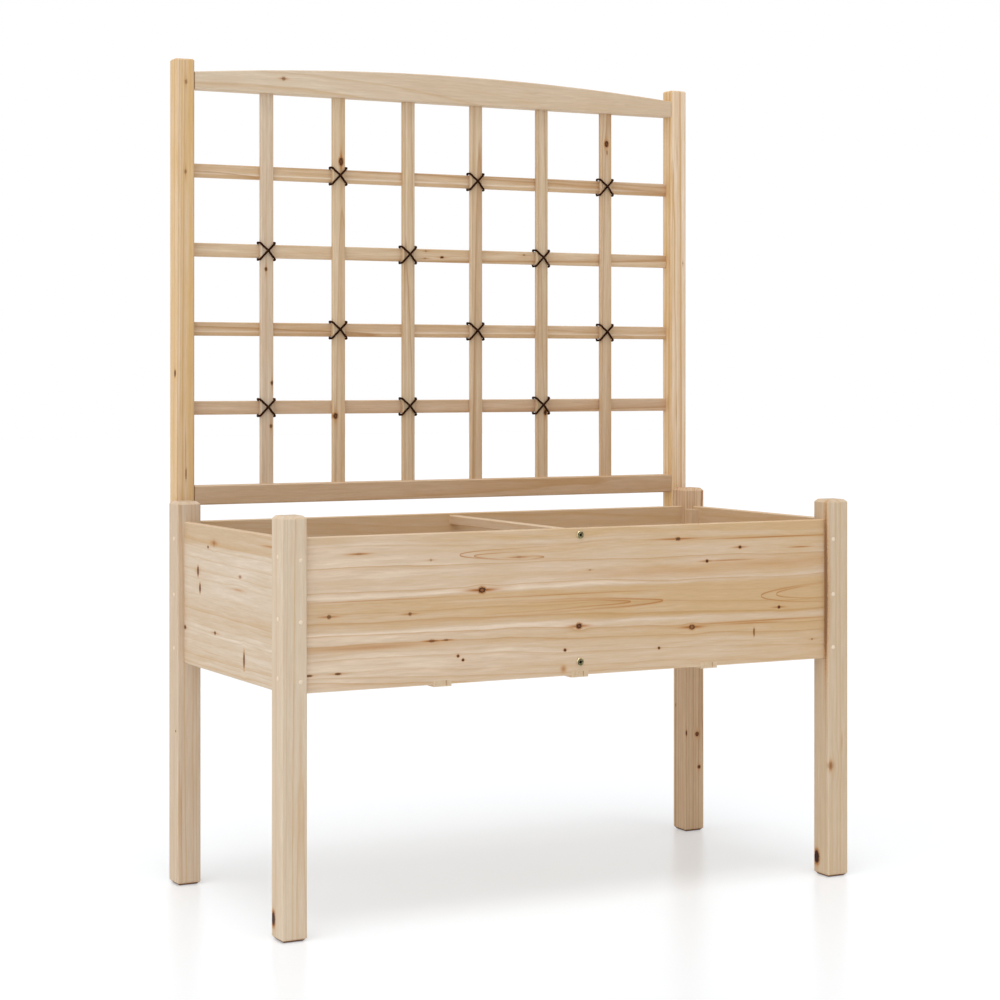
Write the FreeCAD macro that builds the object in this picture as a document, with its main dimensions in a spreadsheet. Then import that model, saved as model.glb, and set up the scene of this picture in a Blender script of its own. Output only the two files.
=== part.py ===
import FreeCAD, Part
import math
import os
import Sketcher

# A raised wooden planter on four square legs, with an arched lattice trellis
# behind it. All sizes are in millimetres. X runs along the front to the right,
# Y runs to the back and Z runs up. The origin is on the floor, in the middle
# of the whole plan, so the front of the legs lies at minus half the depth.

V = FreeCAD.Vector

SIZES = [
    # legs
    ("box_width", 1205),             # over the outer faces of the legs
    ("box_depth", 570),              # over the front and back faces of the legs
    ("leg_size", 48),                # square section
    ("leg_height", 742),
    ("leg_round", 3),                # long arrises
    ("leg_bevel", 6),                # bevel round the top and the foot
    # panels of the box
    ("panel_thickness", 14),
    ("panel_height", 273),
    ("panel_bottom", 430),           # lower edge above the floor
    ("panel_easing", 1.5),           # small bevel on its long arrises
    ("long_panel_inset", 11.5),      # front and back panel behind their leg's front face
    ("side_panel_inset", 14),        # side panel in from the leg's outer face
    # battens in the corners of the box
    ("batten_depth", 24),
    ("batten_top_gap", 6),
    # floor of the box
    ("floor_bar_width", 35.5),
    ("floor_bar_height", 19),
    ("floor_bar_spacing", 285),
    ("tongue_height", 11),           # end of a floor bar, where it lies in its notch
    ("notch_depth", 6.8),
    ("notch_gap", 0.25),             # free room on each side of a bar's end
    ("ledge_width", 30),
    ("slat_board_width", 74),
    ("slat_board_thickness", 9),
    ("slat_end_gap", 1),
    # bars that tie the front panel to the back one
    ("tie_bar_width", 18),
    ("tie_bar_height", 18),
    ("upper_bar_drop", 4),           # below the rim of the box
    # trellis frame
    ("post_width", 40),
    ("post_depth", 36),
    ("post_inset", 14),              # in from the leg's outer face
    ("post_height", 1176),
    ("post_round", 5.5),
    ("post_bevel", 2.5),
    ("rail_thickness", 30),
    ("rail_easing", 2),
    ("bottom_rail_height", 38),
    ("bottom_rail_gap", 29),         # from the rim of the box to the rail
    ("arch_end_height", 34),
    ("arch_crown_height", 58),
    ("tenon_length", 20),
    ("tenon_thickness", 14),
    ("tenon_shoulder", 6),
    # lattice
    ("lath_width", 27),
    ("lath_thickness", 10),
    ("lath_easing", 1.5),
    ("lath_setback", 11),            # face of an upright lath behind the post's face
    ("housing_depth", 8),            # how far a lath runs into the frame
    ("row_pitch", 156),
    ("row_drop", 158),               # arched rail's lower edge to the first row's middle
    # ties
    ("cord_diameter", 4),
    ("cord_gap", 0.3),               # between the cord and the wood
    ("cord_crossing_gap", 0.8),      # under the peak of the upper strand, before it is rounded
    ("front_turn_radius", 5),
    ("knot_height", 8.6),
    # screws, their buttons and the bolts
    ("screw_diameter", 4),
    ("screw_head_diameter", 7.8),
    ("screw_head_height", 3),
    ("screw_clearance", 0.2),        # across a hole
    ("side_screw_length", 75),
    ("face_screw_length", 62),
    ("counterbore_depth", 5),
    ("button_crown", 1.2),
    ("face_screw_inset", 35.5),      # from the leg's outer side face
    ("screw_level_low", 25),         # above the panel's lower edge
    ("screw_level_middle", 129),
    ("screw_level_high", 237),
    ("screw_offset", 3),             # side screws pass above, face screws below
    ("trellis_screw_length", 70),
    ("trellis_screw_low", 50),       # above the post's lower end
    ("trellis_screw_high", 270),
    ("bolt_diameter", 6),
    ("bolt_length", 48),
    ("bolt_head_diameter", 15),
    ("bolt_head_height", 2.6),
    ("bolt_socket", 5),              # across the flats of its hexagon
    ("bolt_socket_depth", 2),
    ("nut_diameter", 10),
    ("nut_length", 15),
    ("nut_inset", 24),               # middle of the nut from the bar's end
]

LATTICE_ROWS = 4
LATTICE_COLUMNS = 6
SLATS_PER_BAY = 6

# what repeats many times has few faces
CORD_SIDES = 4
SCREW_SIDES = 8
BOLT_HEAD_SIDES = 16

doc = FreeCAD.newDocument("planter_with_trellis")
sheet = doc.addObject("Spreadsheet::Sheet", "sizes")
for row_number, (alias, value) in enumerate(SIZES, start=1):
    sheet.set("A%d" % row_number, alias)
    sheet.set("B%d" % row_number, str(value))
    sheet.setAlias("B%d" % row_number, alias)
doc.recompute()


class Size:
    """A length that keeps its number and the live expression it comes from."""

    def __init__(self, value, text):
        self.value = value
        self.text = text

    def __add__(self, other):
        other = as_size(other)
        return Size(self.value + other.value, "(%s + %s)" % (self.text, other.text))

    def __radd__(self, other):
        return as_size(other) + self

    def __sub__(self, other):
        other = as_size(other)
        return Size(self.value - other.value, "(%s - %s)" % (self.text, other.text))

    def __rsub__(self, other):
        return as_size(other) - self

    def __mul__(self, other):
        other = as_size(other)
        return Size(self.value * other.value, "(%s * %s)" % (self.text, other.text))

    def __rmul__(self, other):
        return as_size(other) * self

    def __truediv__(self, other):
        other = as_size(other)
        return Size(self.value / other.value, "(%s / %s)" % (self.text, other.text))

    def __neg__(self):
        return 0 - self


def as_size(number):
    """Wraps a plain number, so that it can be mixed with sizes."""
    return number if isinstance(number, Size) else Size(float(number), repr(float(number)))


def size(alias):
    """The size that the sheet holds under this alias."""
    return Size(float(sheet.get(alias)), "sizes." + alias)


def bind(item, prop, length):
    """Sets a property to a size and ties it to the size's expression."""
    item.setExpression(prop, as_size(length).text)


# ---------------------------------------------------------------- main sizes

leg = size("leg_size")
thick = size("panel_thickness")
low = size("panel_bottom")
rim = low + size("panel_height")
half_width = size("box_width") / 2
depth = size("box_depth") + size("post_depth")      # the whole depth of the plan
front = -depth / 2                                    # front faces of the front legs
back = front + size("box_depth")                      # back faces of the back legs
inner_x = half_width - leg                            # inner side faces of the legs

front_panel_y = front + size("long_panel_inset")
back_panel_y = back - leg + size("long_panel_inset")
inner_front = front_panel_y + thick                   # inner face of the front panel
inner_back = back_panel_y                             # inner face of the back panel
side_inner_x = half_width - size("side_panel_inset") - thick

floor_bar_low = low + size("notch_depth") - size("tongue_height")
floor_level = floor_bar_low + size("floor_bar_height")

cord_radius = size("cord_diameter") / 2


# ------------------------------------------------------------- small helpers

PLANE_ROLES = {"Z": "XY_Plane", "Y": "XZ_Plane", "X": "YZ_Plane"}


def new_body(name, corner):
    """A body whose own origin lies at the given corner of the part's frame."""
    body = doc.addObject("PartDesign::Body", name)
    body.Label = name
    for axis_name, length in zip("xyz", corner):
        bind(body, "Placement.Base." + axis_name, length)
    return body


def new_sketch(body, name, normal, offset=0):
    """A sketch on the body's own plane across the given axis."""
    sketch = body.newObject("Sketcher::SketchObject", name)
    role = PLANE_ROLES[normal]
    plane = [item for item in body.Origin.OriginFeatures if item.Role == role][0]
    sketch.AttachmentSupport = (plane, [""])
    sketch.MapMode = "FlatFace"
    # the normal of the XZ plane points to -Y
    bind(sketch, "AttachmentOffset.Base.z", -as_size(offset) if normal == "Y" else offset)
    return sketch


def pin_point(sketch, geometry, end, x, y):
    """Fixes one end of a sketch line at two sizes from the sketch's origin."""
    for kind, length in (("DistanceX", as_size(x)), ("DistanceY", as_size(y))):
        index = sketch.addConstraint(Sketcher.Constraint(kind, -1, 1, geometry, end, length.value))
        sketch.setExpression("Constraints[%d]" % index, length.text)


def draw_polygon(sketch, points):
    """Adds a closed outline of straight lines, each corner fixed by its sizes."""
    corners = [(as_size(x), as_size(y)) for x, y in points]
    first = sketch.GeometryCount
    for (x0, y0), (x1, y1) in zip(corners, corners[1:] + corners[:1]):
        line = Part.LineSegment(V(x0.value, y0.value, 0), V(x1.value, y1.value, 0))
        index = sketch.addGeometry(line)
        pin_point(sketch, index, 1, x0, y0)
    for step in range(len(corners)):
        following = first + (step + 1) % len(corners)
        sketch.addConstraint(Sketcher.Constraint("Coincident", first + step, 2, following, 1))


def draw_rectangle(sketch, x, y, width, height):
    """Adds a rectangle from its lower left corner."""
    draw_polygon(sketch, [(x, y), (x + width, y), (x + width, y + height), (x, y + height)])


def round_corners(x, y, radius, sides):
    """The corners of a regular outline that stands for a circle."""
    angles = [2 * math.pi * (step + 0.5) / sides for step in range(sides)]
    return [(x + radius * round(math.cos(angle), 6), y + radius * round(math.sin(angle), 6))
            for angle in angles]


def draw_hole(sketch, x, y, radius):
    """Adds the outline of a screw's or bolt's hole, with as many sides as the screw."""
    draw_polygon(sketch, round_corners(x, y, radius, SCREW_SIDES))


def pad(body, sketch, length, normal):
    """Extrudes a sketch towards the positive end of its axis."""
    feature = body.newObject("PartDesign::Pad", sketch.Name + "_pad")
    feature.Profile = sketch
    feature.Reversed = normal == "Y"
    bind(feature, "Length", length)
    return feature


def pocket(body, sketch, length, normal, positive=True):
    """Cuts a sketch out towards the positive or the negative end of its axis."""
    feature = body.newObject("PartDesign::Pocket", sketch.Name + "_cut")
    feature.Profile = sketch
    # a pocket runs against its sketch's normal unless it is reversed
    feature.Reversed = positive != (normal == "Y")
    bind(feature, "Length", length)
    doc.recompute()
    if not feature.BaseFeature.Shape.Volume - feature.Shape.Volume > 1e-3:
        raise ValueError("nothing was cut by " + feature.Name)
    return feature


def edge_names(shape, wanted):
    """The names of a shape's edges for which wanted(edge) is true."""
    return ["Edge%d" % number for number, edge in enumerate(shape.Edges, start=1) if wanted(edge)]


def runs_along(edge, axis_name):
    """Whether an edge is straight and parallel to the given axis."""
    if not isinstance(edge.Curve, Part.Line):
        return False
    axis = {"X": V(1, 0, 0), "Y": V(0, 1, 0), "Z": V(0, 0, 1)}[axis_name]
    return abs(edge.Curve.Direction.dot(axis)) > 0.999


def round_edges(body, wanted, radius):
    """Rounds the wanted edges of a body's last feature."""
    doc.recompute()
    base = body.Tip
    feature = body.newObject("PartDesign::Fillet", base.Name + "_rounding")
    feature.Base = (base, edge_names(base.Shape, wanted))
    bind(feature, "Radius", radius)


def bevel_edges(body, wanted, width):
    """Bevels the wanted edges of a body's last feature."""
    doc.recompute()
    base = body.Tip
    feature = body.newObject("PartDesign::Chamfer", base.Name + "_bevel")
    feature.Base = (base, edge_names(base.Shape, wanted))
    bind(feature, "Size", width)


def timber(name, axis_name, length, first, second, corner, rounding=None, easing=None):
    """A straight piece of rectangular timber, its long arrises rounded, eased or left sharp.

    first and second are its sizes along the two other axes, in the order X, Y, Z.
    """
    body = new_body(name, corner)
    sketch = new_sketch(body, name + "_section", axis_name)
    draw_rectangle(sketch, as_size(0), as_size(0), first, second)
    pad(body, sketch, length, axis_name)

    def is_arris(edge):
        return runs_along(edge, axis_name)

    if rounding:
        round_edges(body, is_arris, rounding)
    if easing:
        bevel_edges(body, is_arris, easing)
    doc.recompute()
    return body


def cut_box(body, name, corner, lengths):
    """Cuts a box out of a body, such as a mortise or a housing."""
    feature = body.newObject("PartDesign::SubtractiveBox", name)
    for axis_name, length in zip("xyz", corner):
        bind(feature, "Placement.Base." + axis_name, length)
    for prop, length in zip(("Length", "Width", "Height"), lengths):
        bind(feature, prop, length)
    return feature


def add_box(body, name, corner, lengths):
    """Adds a box to a body, such as a tenon."""
    feature = body.newObject("PartDesign::AdditiveBox", name)
    for axis_name, length in zip("xyz", corner):
        bind(feature, "Placement.Base." + axis_name, length)
    for prop, length in zip(("Length", "Width", "Height"), lengths):
        bind(feature, prop, length)
    return feature


def regular_polygon(centre, radius, sides):
    """A closed level outline with equal sides."""
    corners = [centre + V(x, y, 0) for x, y in round_corners(0, 0, radius, sides)]
    return Part.makePolygon(corners + corners[:1])


def turned(profile, sides):
    """A solid about the Z axis through (radius, height) steps, each a length of the piece."""
    lengths = []
    for (radius, height), (next_radius, next_height) in zip(profile, profile[1:]):
        if next_height > height:
            rings = [regular_polygon(V(0, 0, height), radius, sides),
                     regular_polygon(V(0, 0, next_height), next_radius, sides)]
            lengths.append(Part.makeLoft(rings, True, True))
    return lengths[0].multiFuse(lengths[1:]).removeSplitter() if lengths[1:] else lengths[0]


def group(name, shape, placements):
    """One node of identical pieces: a separate solid at each placement."""
    copies = []
    for placement in placements:
        copy = shape.copy()
        copy.Placement = placement.multiply(copy.Placement)
        copies.append(copy)
    item = doc.addObject("Part::Feature", name)
    item.Label = name
    item.Shape = Part.makeCompound(copies)
    item.Placement = FreeCAD.Placement()
    return item


def pointing(x, y, z, direction):
    """A placement at a point, with the piece's Z axis turned to a direction."""
    position = V(as_size(x).value, as_size(y).value, as_size(z).value)
    return FreeCAD.Placement(position, FreeCAD.Rotation(V(0, 0, 1), direction))


RIGHTWARDS = V(1, 0, 0)
LEFTWARDS = V(-1, 0, 0)
BACKWARDS = V(0, 1, 0)
FORWARDS = V(0, -1, 0)


# --------------------------------------------------------------------- legs

SCREW_LEVELS = [low + size(name) for name in ("screw_level_low", "screw_level_middle", "screw_level_high")]
SIDE_SCREW_LEVELS = [level + size("screw_offset") for level in SCREW_LEVELS]
FACE_SCREW_LEVELS = [level - size("screw_offset") for level in SCREW_LEVELS]
hole_radius = (size("screw_diameter") + size("screw_clearance")) / 2
head_hole_radius = (size("screw_head_diameter") + size("screw_clearance")) / 2   # also a button's
panel_middle = size("long_panel_inset") + thick / 2   # of a long panel, from its leg's front face
TRELLIS_SCREW_LEVELS = [low + size("trellis_screw_low"), low + size("trellis_screw_high")]
trellis_screw_inset = (size("post_inset") + leg) / 2  # from the leg's outer side face


def screw_bite(length, wood):
    """How far a screw runs into the second piece, past the wood that it goes through."""
    return length + size("counterbore_depth") - size("screw_head_height") - wood


trellis_bite = screw_bite(size("trellis_screw_length"), size("post_depth"))


def bevel_ends(body, normal):
    """Cuts the four bevels at the ends of a leg that show along one axis."""
    bevel, tall = size("leg_bevel"), size("leg_height")
    sketch = new_sketch(body, body.Name + "_bevels_" + normal.lower(), normal)
    for side, inward in ((as_size(0), bevel), (leg, leg - bevel)):
        draw_polygon(sketch, [(side, 0), (inward, 0), (side, bevel)])
        draw_polygon(sketch, [(side, tall), (inward, tall), (side, tall - bevel)])
    pocket(body, sketch, leg, normal)


def drill_for_screws(body, label, normal, across, levels, from_far_side):
    """Drills three screw holes through a leg, counterbored where the heads go in."""
    holes = new_sketch(body, "%s_%s_holes" % (body.Name, label), normal)
    for level in levels:
        draw_hole(holes, across, level, hole_radius)
    pocket(body, holes, leg, normal)
    face = leg if from_far_side else 0
    seats = new_sketch(body, "%s_%s_seats" % (body.Name, label), normal, face)
    for level in levels:
        draw_hole(seats, across, level, head_hole_radius)
    pocket(body, seats, size("counterbore_depth"), normal, positive=not from_far_side)


def make_leg(name, right, rear):
    """A square leg with rounded arrises, bevelled ends and its screw holes."""
    x = inner_x if right else -half_width
    y = back - leg if rear else front
    body = timber(name, "Z", size("leg_height"), leg, leg, (x, y, 0), rounding=size("leg_round"))
    for normal in "XY":
        bevel_ends(body, normal)
    face_inset = size("face_screw_inset")
    drill_for_screws(body, "side", "X", panel_middle, SIDE_SCREW_LEVELS, from_far_side=right)
    drill_for_screws(body, "face", "Y", leg - face_inset if right else face_inset,
                     FACE_SCREW_LEVELS, from_far_side=rear)
    if rear:
        across = leg - trellis_screw_inset if right else trellis_screw_inset
        pilots = new_sketch(body, name + "_trellis_pilots", "Y", leg)
        for level in TRELLIS_SCREW_LEVELS:
            draw_hole(pilots, across, level, hole_radius)
        pocket(body, pilots, trellis_bite, "Y", positive=False)


for depth_name, rear in (("front", False), ("back", True)):
    for side_name, right in (("left", False), ("right", True)):
        make_leg("leg_%s_%s" % (depth_name, side_name), right, rear)


# ------------------------------------------------------------------- panels

long_panel_length = 2 * inner_x
side_panel_length = size("box_depth") - 2 * leg
panel_bite = screw_bite(size("side_screw_length"), leg)
BAR_PLACES = (-size("floor_bar_spacing"), as_size(0), size("floor_bar_spacing"))
upper_bar_level = rim - size("upper_bar_drop") - size("tie_bar_height") / 2
lower_bar_level = floor_level + size("tie_bar_height") / 2


def make_long_panel(name, y):
    """A front or back panel: notched for the floor bars and drilled for its screws and bolts."""
    body = new_body(name, (-inner_x, y, low))
    outline = new_sketch(body, name + "_outline", "Y")
    half_notch = size("floor_bar_width") / 2 + size("notch_gap")
    corners = [(as_size(0), as_size(0))]
    for place in BAR_PLACES:
        middle = inner_x + place
        corners.append((middle - half_notch, as_size(0)))
        corners.append((middle - half_notch, size("notch_depth")))
        corners.append((middle + half_notch, size("notch_depth")))
        corners.append((middle + half_notch, as_size(0)))
    corners.append((long_panel_length, as_size(0)))
    corners.append((long_panel_length, size("panel_height")))
    corners.append((as_size(0), size("panel_height")))
    draw_polygon(outline, corners)
    pad(body, outline, thick, "Y")
    tall = size("panel_height").value

    def on_rim(edge):
        return runs_along(edge, "X") and edge.BoundBox.ZMin > tall - 1e-3

    bevel_edges(body, on_rim, size("panel_easing"))
    for end_name, face, positive in (("left", as_size(0), True), ("right", long_panel_length, False)):
        pilots = new_sketch(body, "%s_%s_pilots" % (name, end_name), "X", face)
        for level in SIDE_SCREW_LEVELS:
            draw_hole(pilots, thick / 2, level - low, hole_radius)
        pocket(body, pilots, panel_bite, "X", positive=positive)
    bolts = new_sketch(body, name + "_bolt_holes", "Y")
    for level in (upper_bar_level, lower_bar_level):
        draw_hole(bolts, inner_x, level - low, (size("bolt_diameter") + size("screw_clearance")) / 2)
    pocket(body, bolts, thick, "Y")
    return body


make_long_panel("front_panel", front_panel_y)
make_long_panel("back_panel", back_panel_y)

side_panel_y = front + leg
for side_name, x in (("left", -half_width + size("side_panel_inset")), ("right", side_inner_x)):
    timber(side_name + "_panel", "Y", side_panel_length, thick, size("panel_height"),
           (x, side_panel_y, low), easing=size("panel_easing"))


# ------------------------------------------------- battens, ledges and floor

batten_width = leg - size("side_panel_inset") - thick
batten_height = size("panel_height") - size("batten_top_gap")
batten_bite = screw_bite(size("face_screw_length"), leg)


def make_batten(name, right, rear):
    """A corner batten that joins a side panel to its leg."""
    x = inner_x if right else -side_inner_x
    y = back - leg - size("batten_depth") if rear else front + leg
    body = timber(name, "Z", batten_height, batten_width, size("batten_depth"), (x, y, low))
    pilots = new_sketch(body, name + "_pilots", "Y", size("batten_depth") if rear else 0)
    screw_x = half_width - size("face_screw_inset")
    across = screw_x - x if right else -screw_x - x
    for level in FACE_SCREW_LEVELS:
        draw_hole(pilots, across, level - low, hole_radius)
    pocket(body, pilots, batten_bite, "Y", positive=not rear)


for depth_name, rear in (("front", False), ("back", True)):
    for side_name, right in (("left", False), ("right", True)):
        make_batten("batten_%s_%s" % (depth_name, side_name), right, rear)

ledge_y = front + leg + size("batten_depth")
ledge_length = back - leg - size("batten_depth") - ledge_y
for side_name, x in (("left", -side_inner_x), ("right", side_inner_x - size("ledge_width"))):
    timber("floor_ledge_" + side_name, "Y", ledge_length, size("ledge_width"), floor_level - low,
           (x, ledge_y, low))


def make_floor_bar(name, place):
    """A bar under the floor, its thinner ends lying in the notches of the long panels."""
    body = new_body(name, (place - size("floor_bar_width") / 2, front_panel_y, floor_bar_low))
    outline = new_sketch(body, name + "_outline", "X")
    length = back_panel_y + thick - front_panel_y
    tongue, tall = size("tongue_height"), size("floor_bar_height")
    draw_polygon(outline, [(0, 0), (length, 0), (length, tongue), (length - thick, tongue),
                           (length - thick, tall), (thick, tall), (thick, tongue), (0, tongue)])
    pad(body, outline, size("floor_bar_width"), "X")
    doc.recompute()


for side_name, place in zip(("left", "middle", "right"), BAR_PLACES):
    make_floor_bar("floor_bar_" + side_name, place)


def make_floor_slats():
    """The two bays of floor slats, one on each side of the lower tie bar."""
    board = size("slat_board_width")
    free = inner_back - inner_front - SLATS_PER_BAY * board
    step = board + free / (SLATS_PER_BAY + 1)
    near_end = size("tie_bar_width") / 2 + size("slat_end_gap")
    for index in range(SLATS_PER_BAY):
        outermost = index in (0, SLATS_PER_BAY - 1)
        far_end = (inner_x if outermost else side_inner_x) - size("slat_end_gap")
        y = inner_front + free / (SLATS_PER_BAY + 1) + index * step
        for side_name, x in (("left", -far_end), ("right", near_end)):
            timber("floor_slat_%s_%d" % (side_name, index + 1), "X", far_end - near_end,
                   board, size("slat_board_thickness"), (x, y, floor_level))


make_floor_slats()


# ------------------------------------------------------------------ tie bars

bolt_hole_radius = (size("bolt_diameter") + size("screw_clearance")) / 2
bolt_bite = size("bolt_length") - thick
tie_bar_length = inner_back - inner_front


def make_tie_bar(name, level):
    """A bar between the long panels, bored at both ends for its bolts and nuts."""
    wide, tall = size("tie_bar_width"), size("tie_bar_height")
    body = timber(name, "Y", tie_bar_length, wide, tall, (-wide / 2, inner_front, level - tall / 2),
                  easing=size("lath_easing"))
    for end_name, face, positive in (("front", as_size(0), True), ("back", tie_bar_length, False)):
        bore = new_sketch(body, "%s_%s_bore" % (name, end_name), "Y", face)
        draw_hole(bore, wide / 2, tall / 2, bolt_hole_radius)
        pocket(body, bore, bolt_bite, "Y", positive=positive)
    nuts = new_sketch(body, name + "_nut_holes", "Z")
    for place in (size("nut_inset"), tie_bar_length - size("nut_inset")):
        draw_hole(nuts, wide / 2, place, (size("nut_diameter") + size("screw_clearance")) / 2)
    pocket(body, nuts, (tall + size("nut_length")) / 2, "Z")


make_tie_bar("tie_bar_upper", upper_bar_level)
make_tie_bar("tie_bar_lower", lower_bar_level)


# ------------------------------------------------------------ trellis frame

post_outer_x = half_width - size("post_inset")
post_inner_x = post_outer_x - size("post_width")
span = 2 * post_inner_x                               # clear width between the posts
upright_y = back + size("lath_setback")               # front face of the upright laths
level_y = upright_y + size("lath_thickness")          # front face of the level laths
lath = size("lath_width")
housing = size("housing_depth")
bottom_rail_level = rim + size("bottom_rail_gap")     # lower edge of the bottom rail
top_rail_level = low + size("post_height") - size("arch_crown_height")
ROW_LEVELS = [top_rail_level - size("row_drop") - row * size("row_pitch")
              for row in range(LATTICE_ROWS)]
COLUMN_PLACES = [(column + 1) * span / (LATTICE_COLUMNS + 1) - post_inner_x
                 for column in range(LATTICE_COLUMNS)]
tenon_inset = (size("rail_thickness") - size("tenon_thickness")) / 2


def make_post(name, right):
    """A trellis post: mortised for the rails, housed for the laths, drilled for its screws."""
    wide, deep, tall = size("post_width"), size("post_depth"), size("post_height")
    x = post_inner_x if right else -post_outer_x
    body = timber(name, "Z", tall, wide, deep, (x, back, low), rounding=size("post_round"))
    top = tall.value

    def on_top(edge):
        return edge.BoundBox.ZMin > top - 1e-3

    bevel_edges(body, on_top, size("post_bevel"))
    shoulder = size("tenon_shoulder")
    rails = (("bottom_rail", bottom_rail_level, size("bottom_rail_height")),
             ("top_rail", top_rail_level, size("arch_end_height")))
    for rail_name, level, height in rails:
        cut_box(body, "%s_%s_mortise" % (name, rail_name),
                (0 if right else wide - size("tenon_length"), tenon_inset, level - low + shoulder),
                (size("tenon_length"), size("tenon_thickness"), height - 2 * shoulder))
    for row, level in enumerate(ROW_LEVELS, start=1):
        cut_box(body, "%s_housing_%d" % (name, row),
                (0 if right else wide - housing, level_y - back, level - low - lath / 2),
                (housing, size("lath_thickness"), lath))
    across = trellis_screw_inset - size("post_inset")
    if right:
        across = wide - across
    holes = new_sketch(body, name + "_screw_holes", "Y")
    seats = new_sketch(body, name + "_screw_seats", "Y", deep)
    for level in TRELLIS_SCREW_LEVELS:
        draw_hole(holes, across, level - low, hole_radius)
        draw_hole(seats, across, level - low, head_hole_radius)
    pocket(body, holes, deep, "Y")
    pocket(body, seats, size("counterbore_depth"), "Y", positive=False)


make_post("post_left", False)
make_post("post_right", True)


def add_tenons(body, height):
    """Gives a rail a tenon at both ends."""
    shoulder, reach = size("tenon_shoulder"), size("tenon_length")
    for side_name, x in (("left", -reach), ("right", span)):
        add_box(body, "%s_%s_tenon" % (body.Name, side_name), (x, tenon_inset, shoulder),
                (reach, size("tenon_thickness"), height - 2 * shoulder))


def house_uprights(body, level):
    """Cuts the housings of the upright laths into a rail, from a level in its own height."""
    for column, place in enumerate(COLUMN_PLACES, start=1):
        cut_box(body, "%s_housing_%d" % (body.Name, column),
                (place + post_inner_x - lath / 2, upright_y - back, level),
                (lath, size("lath_thickness"), housing))


def make_bottom_rail():
    """The straight rail that the upright laths stand in."""
    tall = size("bottom_rail_height")
    body = timber("trellis_bottom_rail", "X", span, size("rail_thickness"), tall,
                  (-post_inner_x, back, bottom_rail_level), easing=size("rail_easing"))
    add_tenons(body, tall)
    house_uprights(body, tall - housing)
    doc.recompute()


def make_top_rail():
    """The rail with the arched upper edge, level with the posts at its crown."""
    name = "trellis_top_rail"
    body = new_body(name, (-post_inner_x, back, top_rail_level))
    outline = new_sketch(body, name + "_outline", "Y")
    end, crown = size("arch_end_height"), size("arch_crown_height")
    rise = crown - end
    radius = (post_inner_x * post_inner_x + rise * rise) / (2 * rise)
    corners = [(as_size(0), end), (as_size(0), as_size(0)), (span, as_size(0)), (span, end)]
    for (x0, z0), (x1, z1) in zip(corners, corners[1:]):
        line = outline.addGeometry(Part.LineSegment(V(x0.value, z0.value, 0), V(x1.value, z1.value, 0)))
        pin_point(outline, line, 1, x0, z0)
        if line:
            outline.addConstraint(Sketcher.Constraint("Coincident", line - 1, 2, line, 1))
    pin_point(outline, line, 2, span, end)
    arc = Part.Arc(V(span.value, end.value, 0), V(span.value / 2, crown.value, 0), V(0, end.value, 0))
    top = outline.addGeometry(arc)
    outline.addConstraint(Sketcher.Constraint("Coincident", top, 1, line, 2))
    outline.addConstraint(Sketcher.Constraint("Coincident", top, 2, 0, 1))
    index = outline.addConstraint(Sketcher.Constraint("Radius", top, radius.value))
    outline.setExpression("Constraints[%d]" % index, radius.text)
    pad(body, outline, size("rail_thickness"), "Y")

    def along_the_rail(edge):
        return edge.BoundBox.XLength > span.value - 1

    bevel_edges(body, along_the_rail, size("rail_easing"))
    add_tenons(body, end)
    house_uprights(body, as_size(0))
    doc.recompute()


make_bottom_rail()
make_top_rail()

for row, level in enumerate(ROW_LEVELS, start=1):
    timber("lath_level_%d" % row, "X", span + 2 * housing, size("lath_thickness"), lath,
           (-post_inner_x - housing, level_y, level - lath / 2), easing=size("lath_easing"))

upright_low = bottom_rail_level + size("bottom_rail_height") - housing
upright_length = top_rail_level + housing - upright_low
for column, place in enumerate(COLUMN_PLACES, start=1):
    timber("lath_upright_%d" % column, "Z", upright_length, lath, size("lath_thickness"),
           (place - lath / 2, upright_y, upright_low), easing=size("lath_easing"))


# ---------------------------------------------------------------------- ties

def rounded_path(points, radii):
    """A wire of straight runs and tangent arcs through points, a radius for each turn."""
    edges = []
    start = points[0]
    for before, corner, after, radius in zip(points, points[1:], points[2:], radii):
        inward = (before - corner).normalize()
        outward = (after - corner).normalize()
        half_turn = (math.pi - inward.getAngle(outward)) / 2
        bisector = (inward + outward).normalize()
        first = corner + inward * (radius * math.tan(half_turn))
        last = corner + outward * (radius * math.tan(half_turn))
        middle = corner + bisector * (radius / math.cos(half_turn) - radius)
        edges.append(Part.LineSegment(start, first).toShape())
        edges.append(Part.Arc(first, middle, last).toShape())
        start = last
    edges.append(Part.LineSegment(start, points[-1]).toShape())
    return Part.Wire(edges)


def least_self_gap(path, diameter):
    """The least free room between two stretches of a cord, measured on points."""
    points = path.discretize(Number=600)
    step = path.Length / (len(points) - 1)
    apart = int(3 * diameter / step)
    gaps = []
    for index, point in enumerate(points):
        for other in points[index + apart:]:
            gaps.append(point.distanceToPoint(other))
    return min(gaps) - diameter


def make_knot(radius, tall, middle):
    """The knot that joins a cord's two ends, which meet it from the front and from below."""
    waist = cord_radius.value
    rings = [regular_polygon(middle + V(0, 0, height), across, CORD_SIDES)
             for height, across in ((-tall / 2, waist), (-tall / 4, radius),
                                    (tall / 4, radius), (tall / 2, waist))]
    return Part.makeLoft(rings, True, True)


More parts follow.
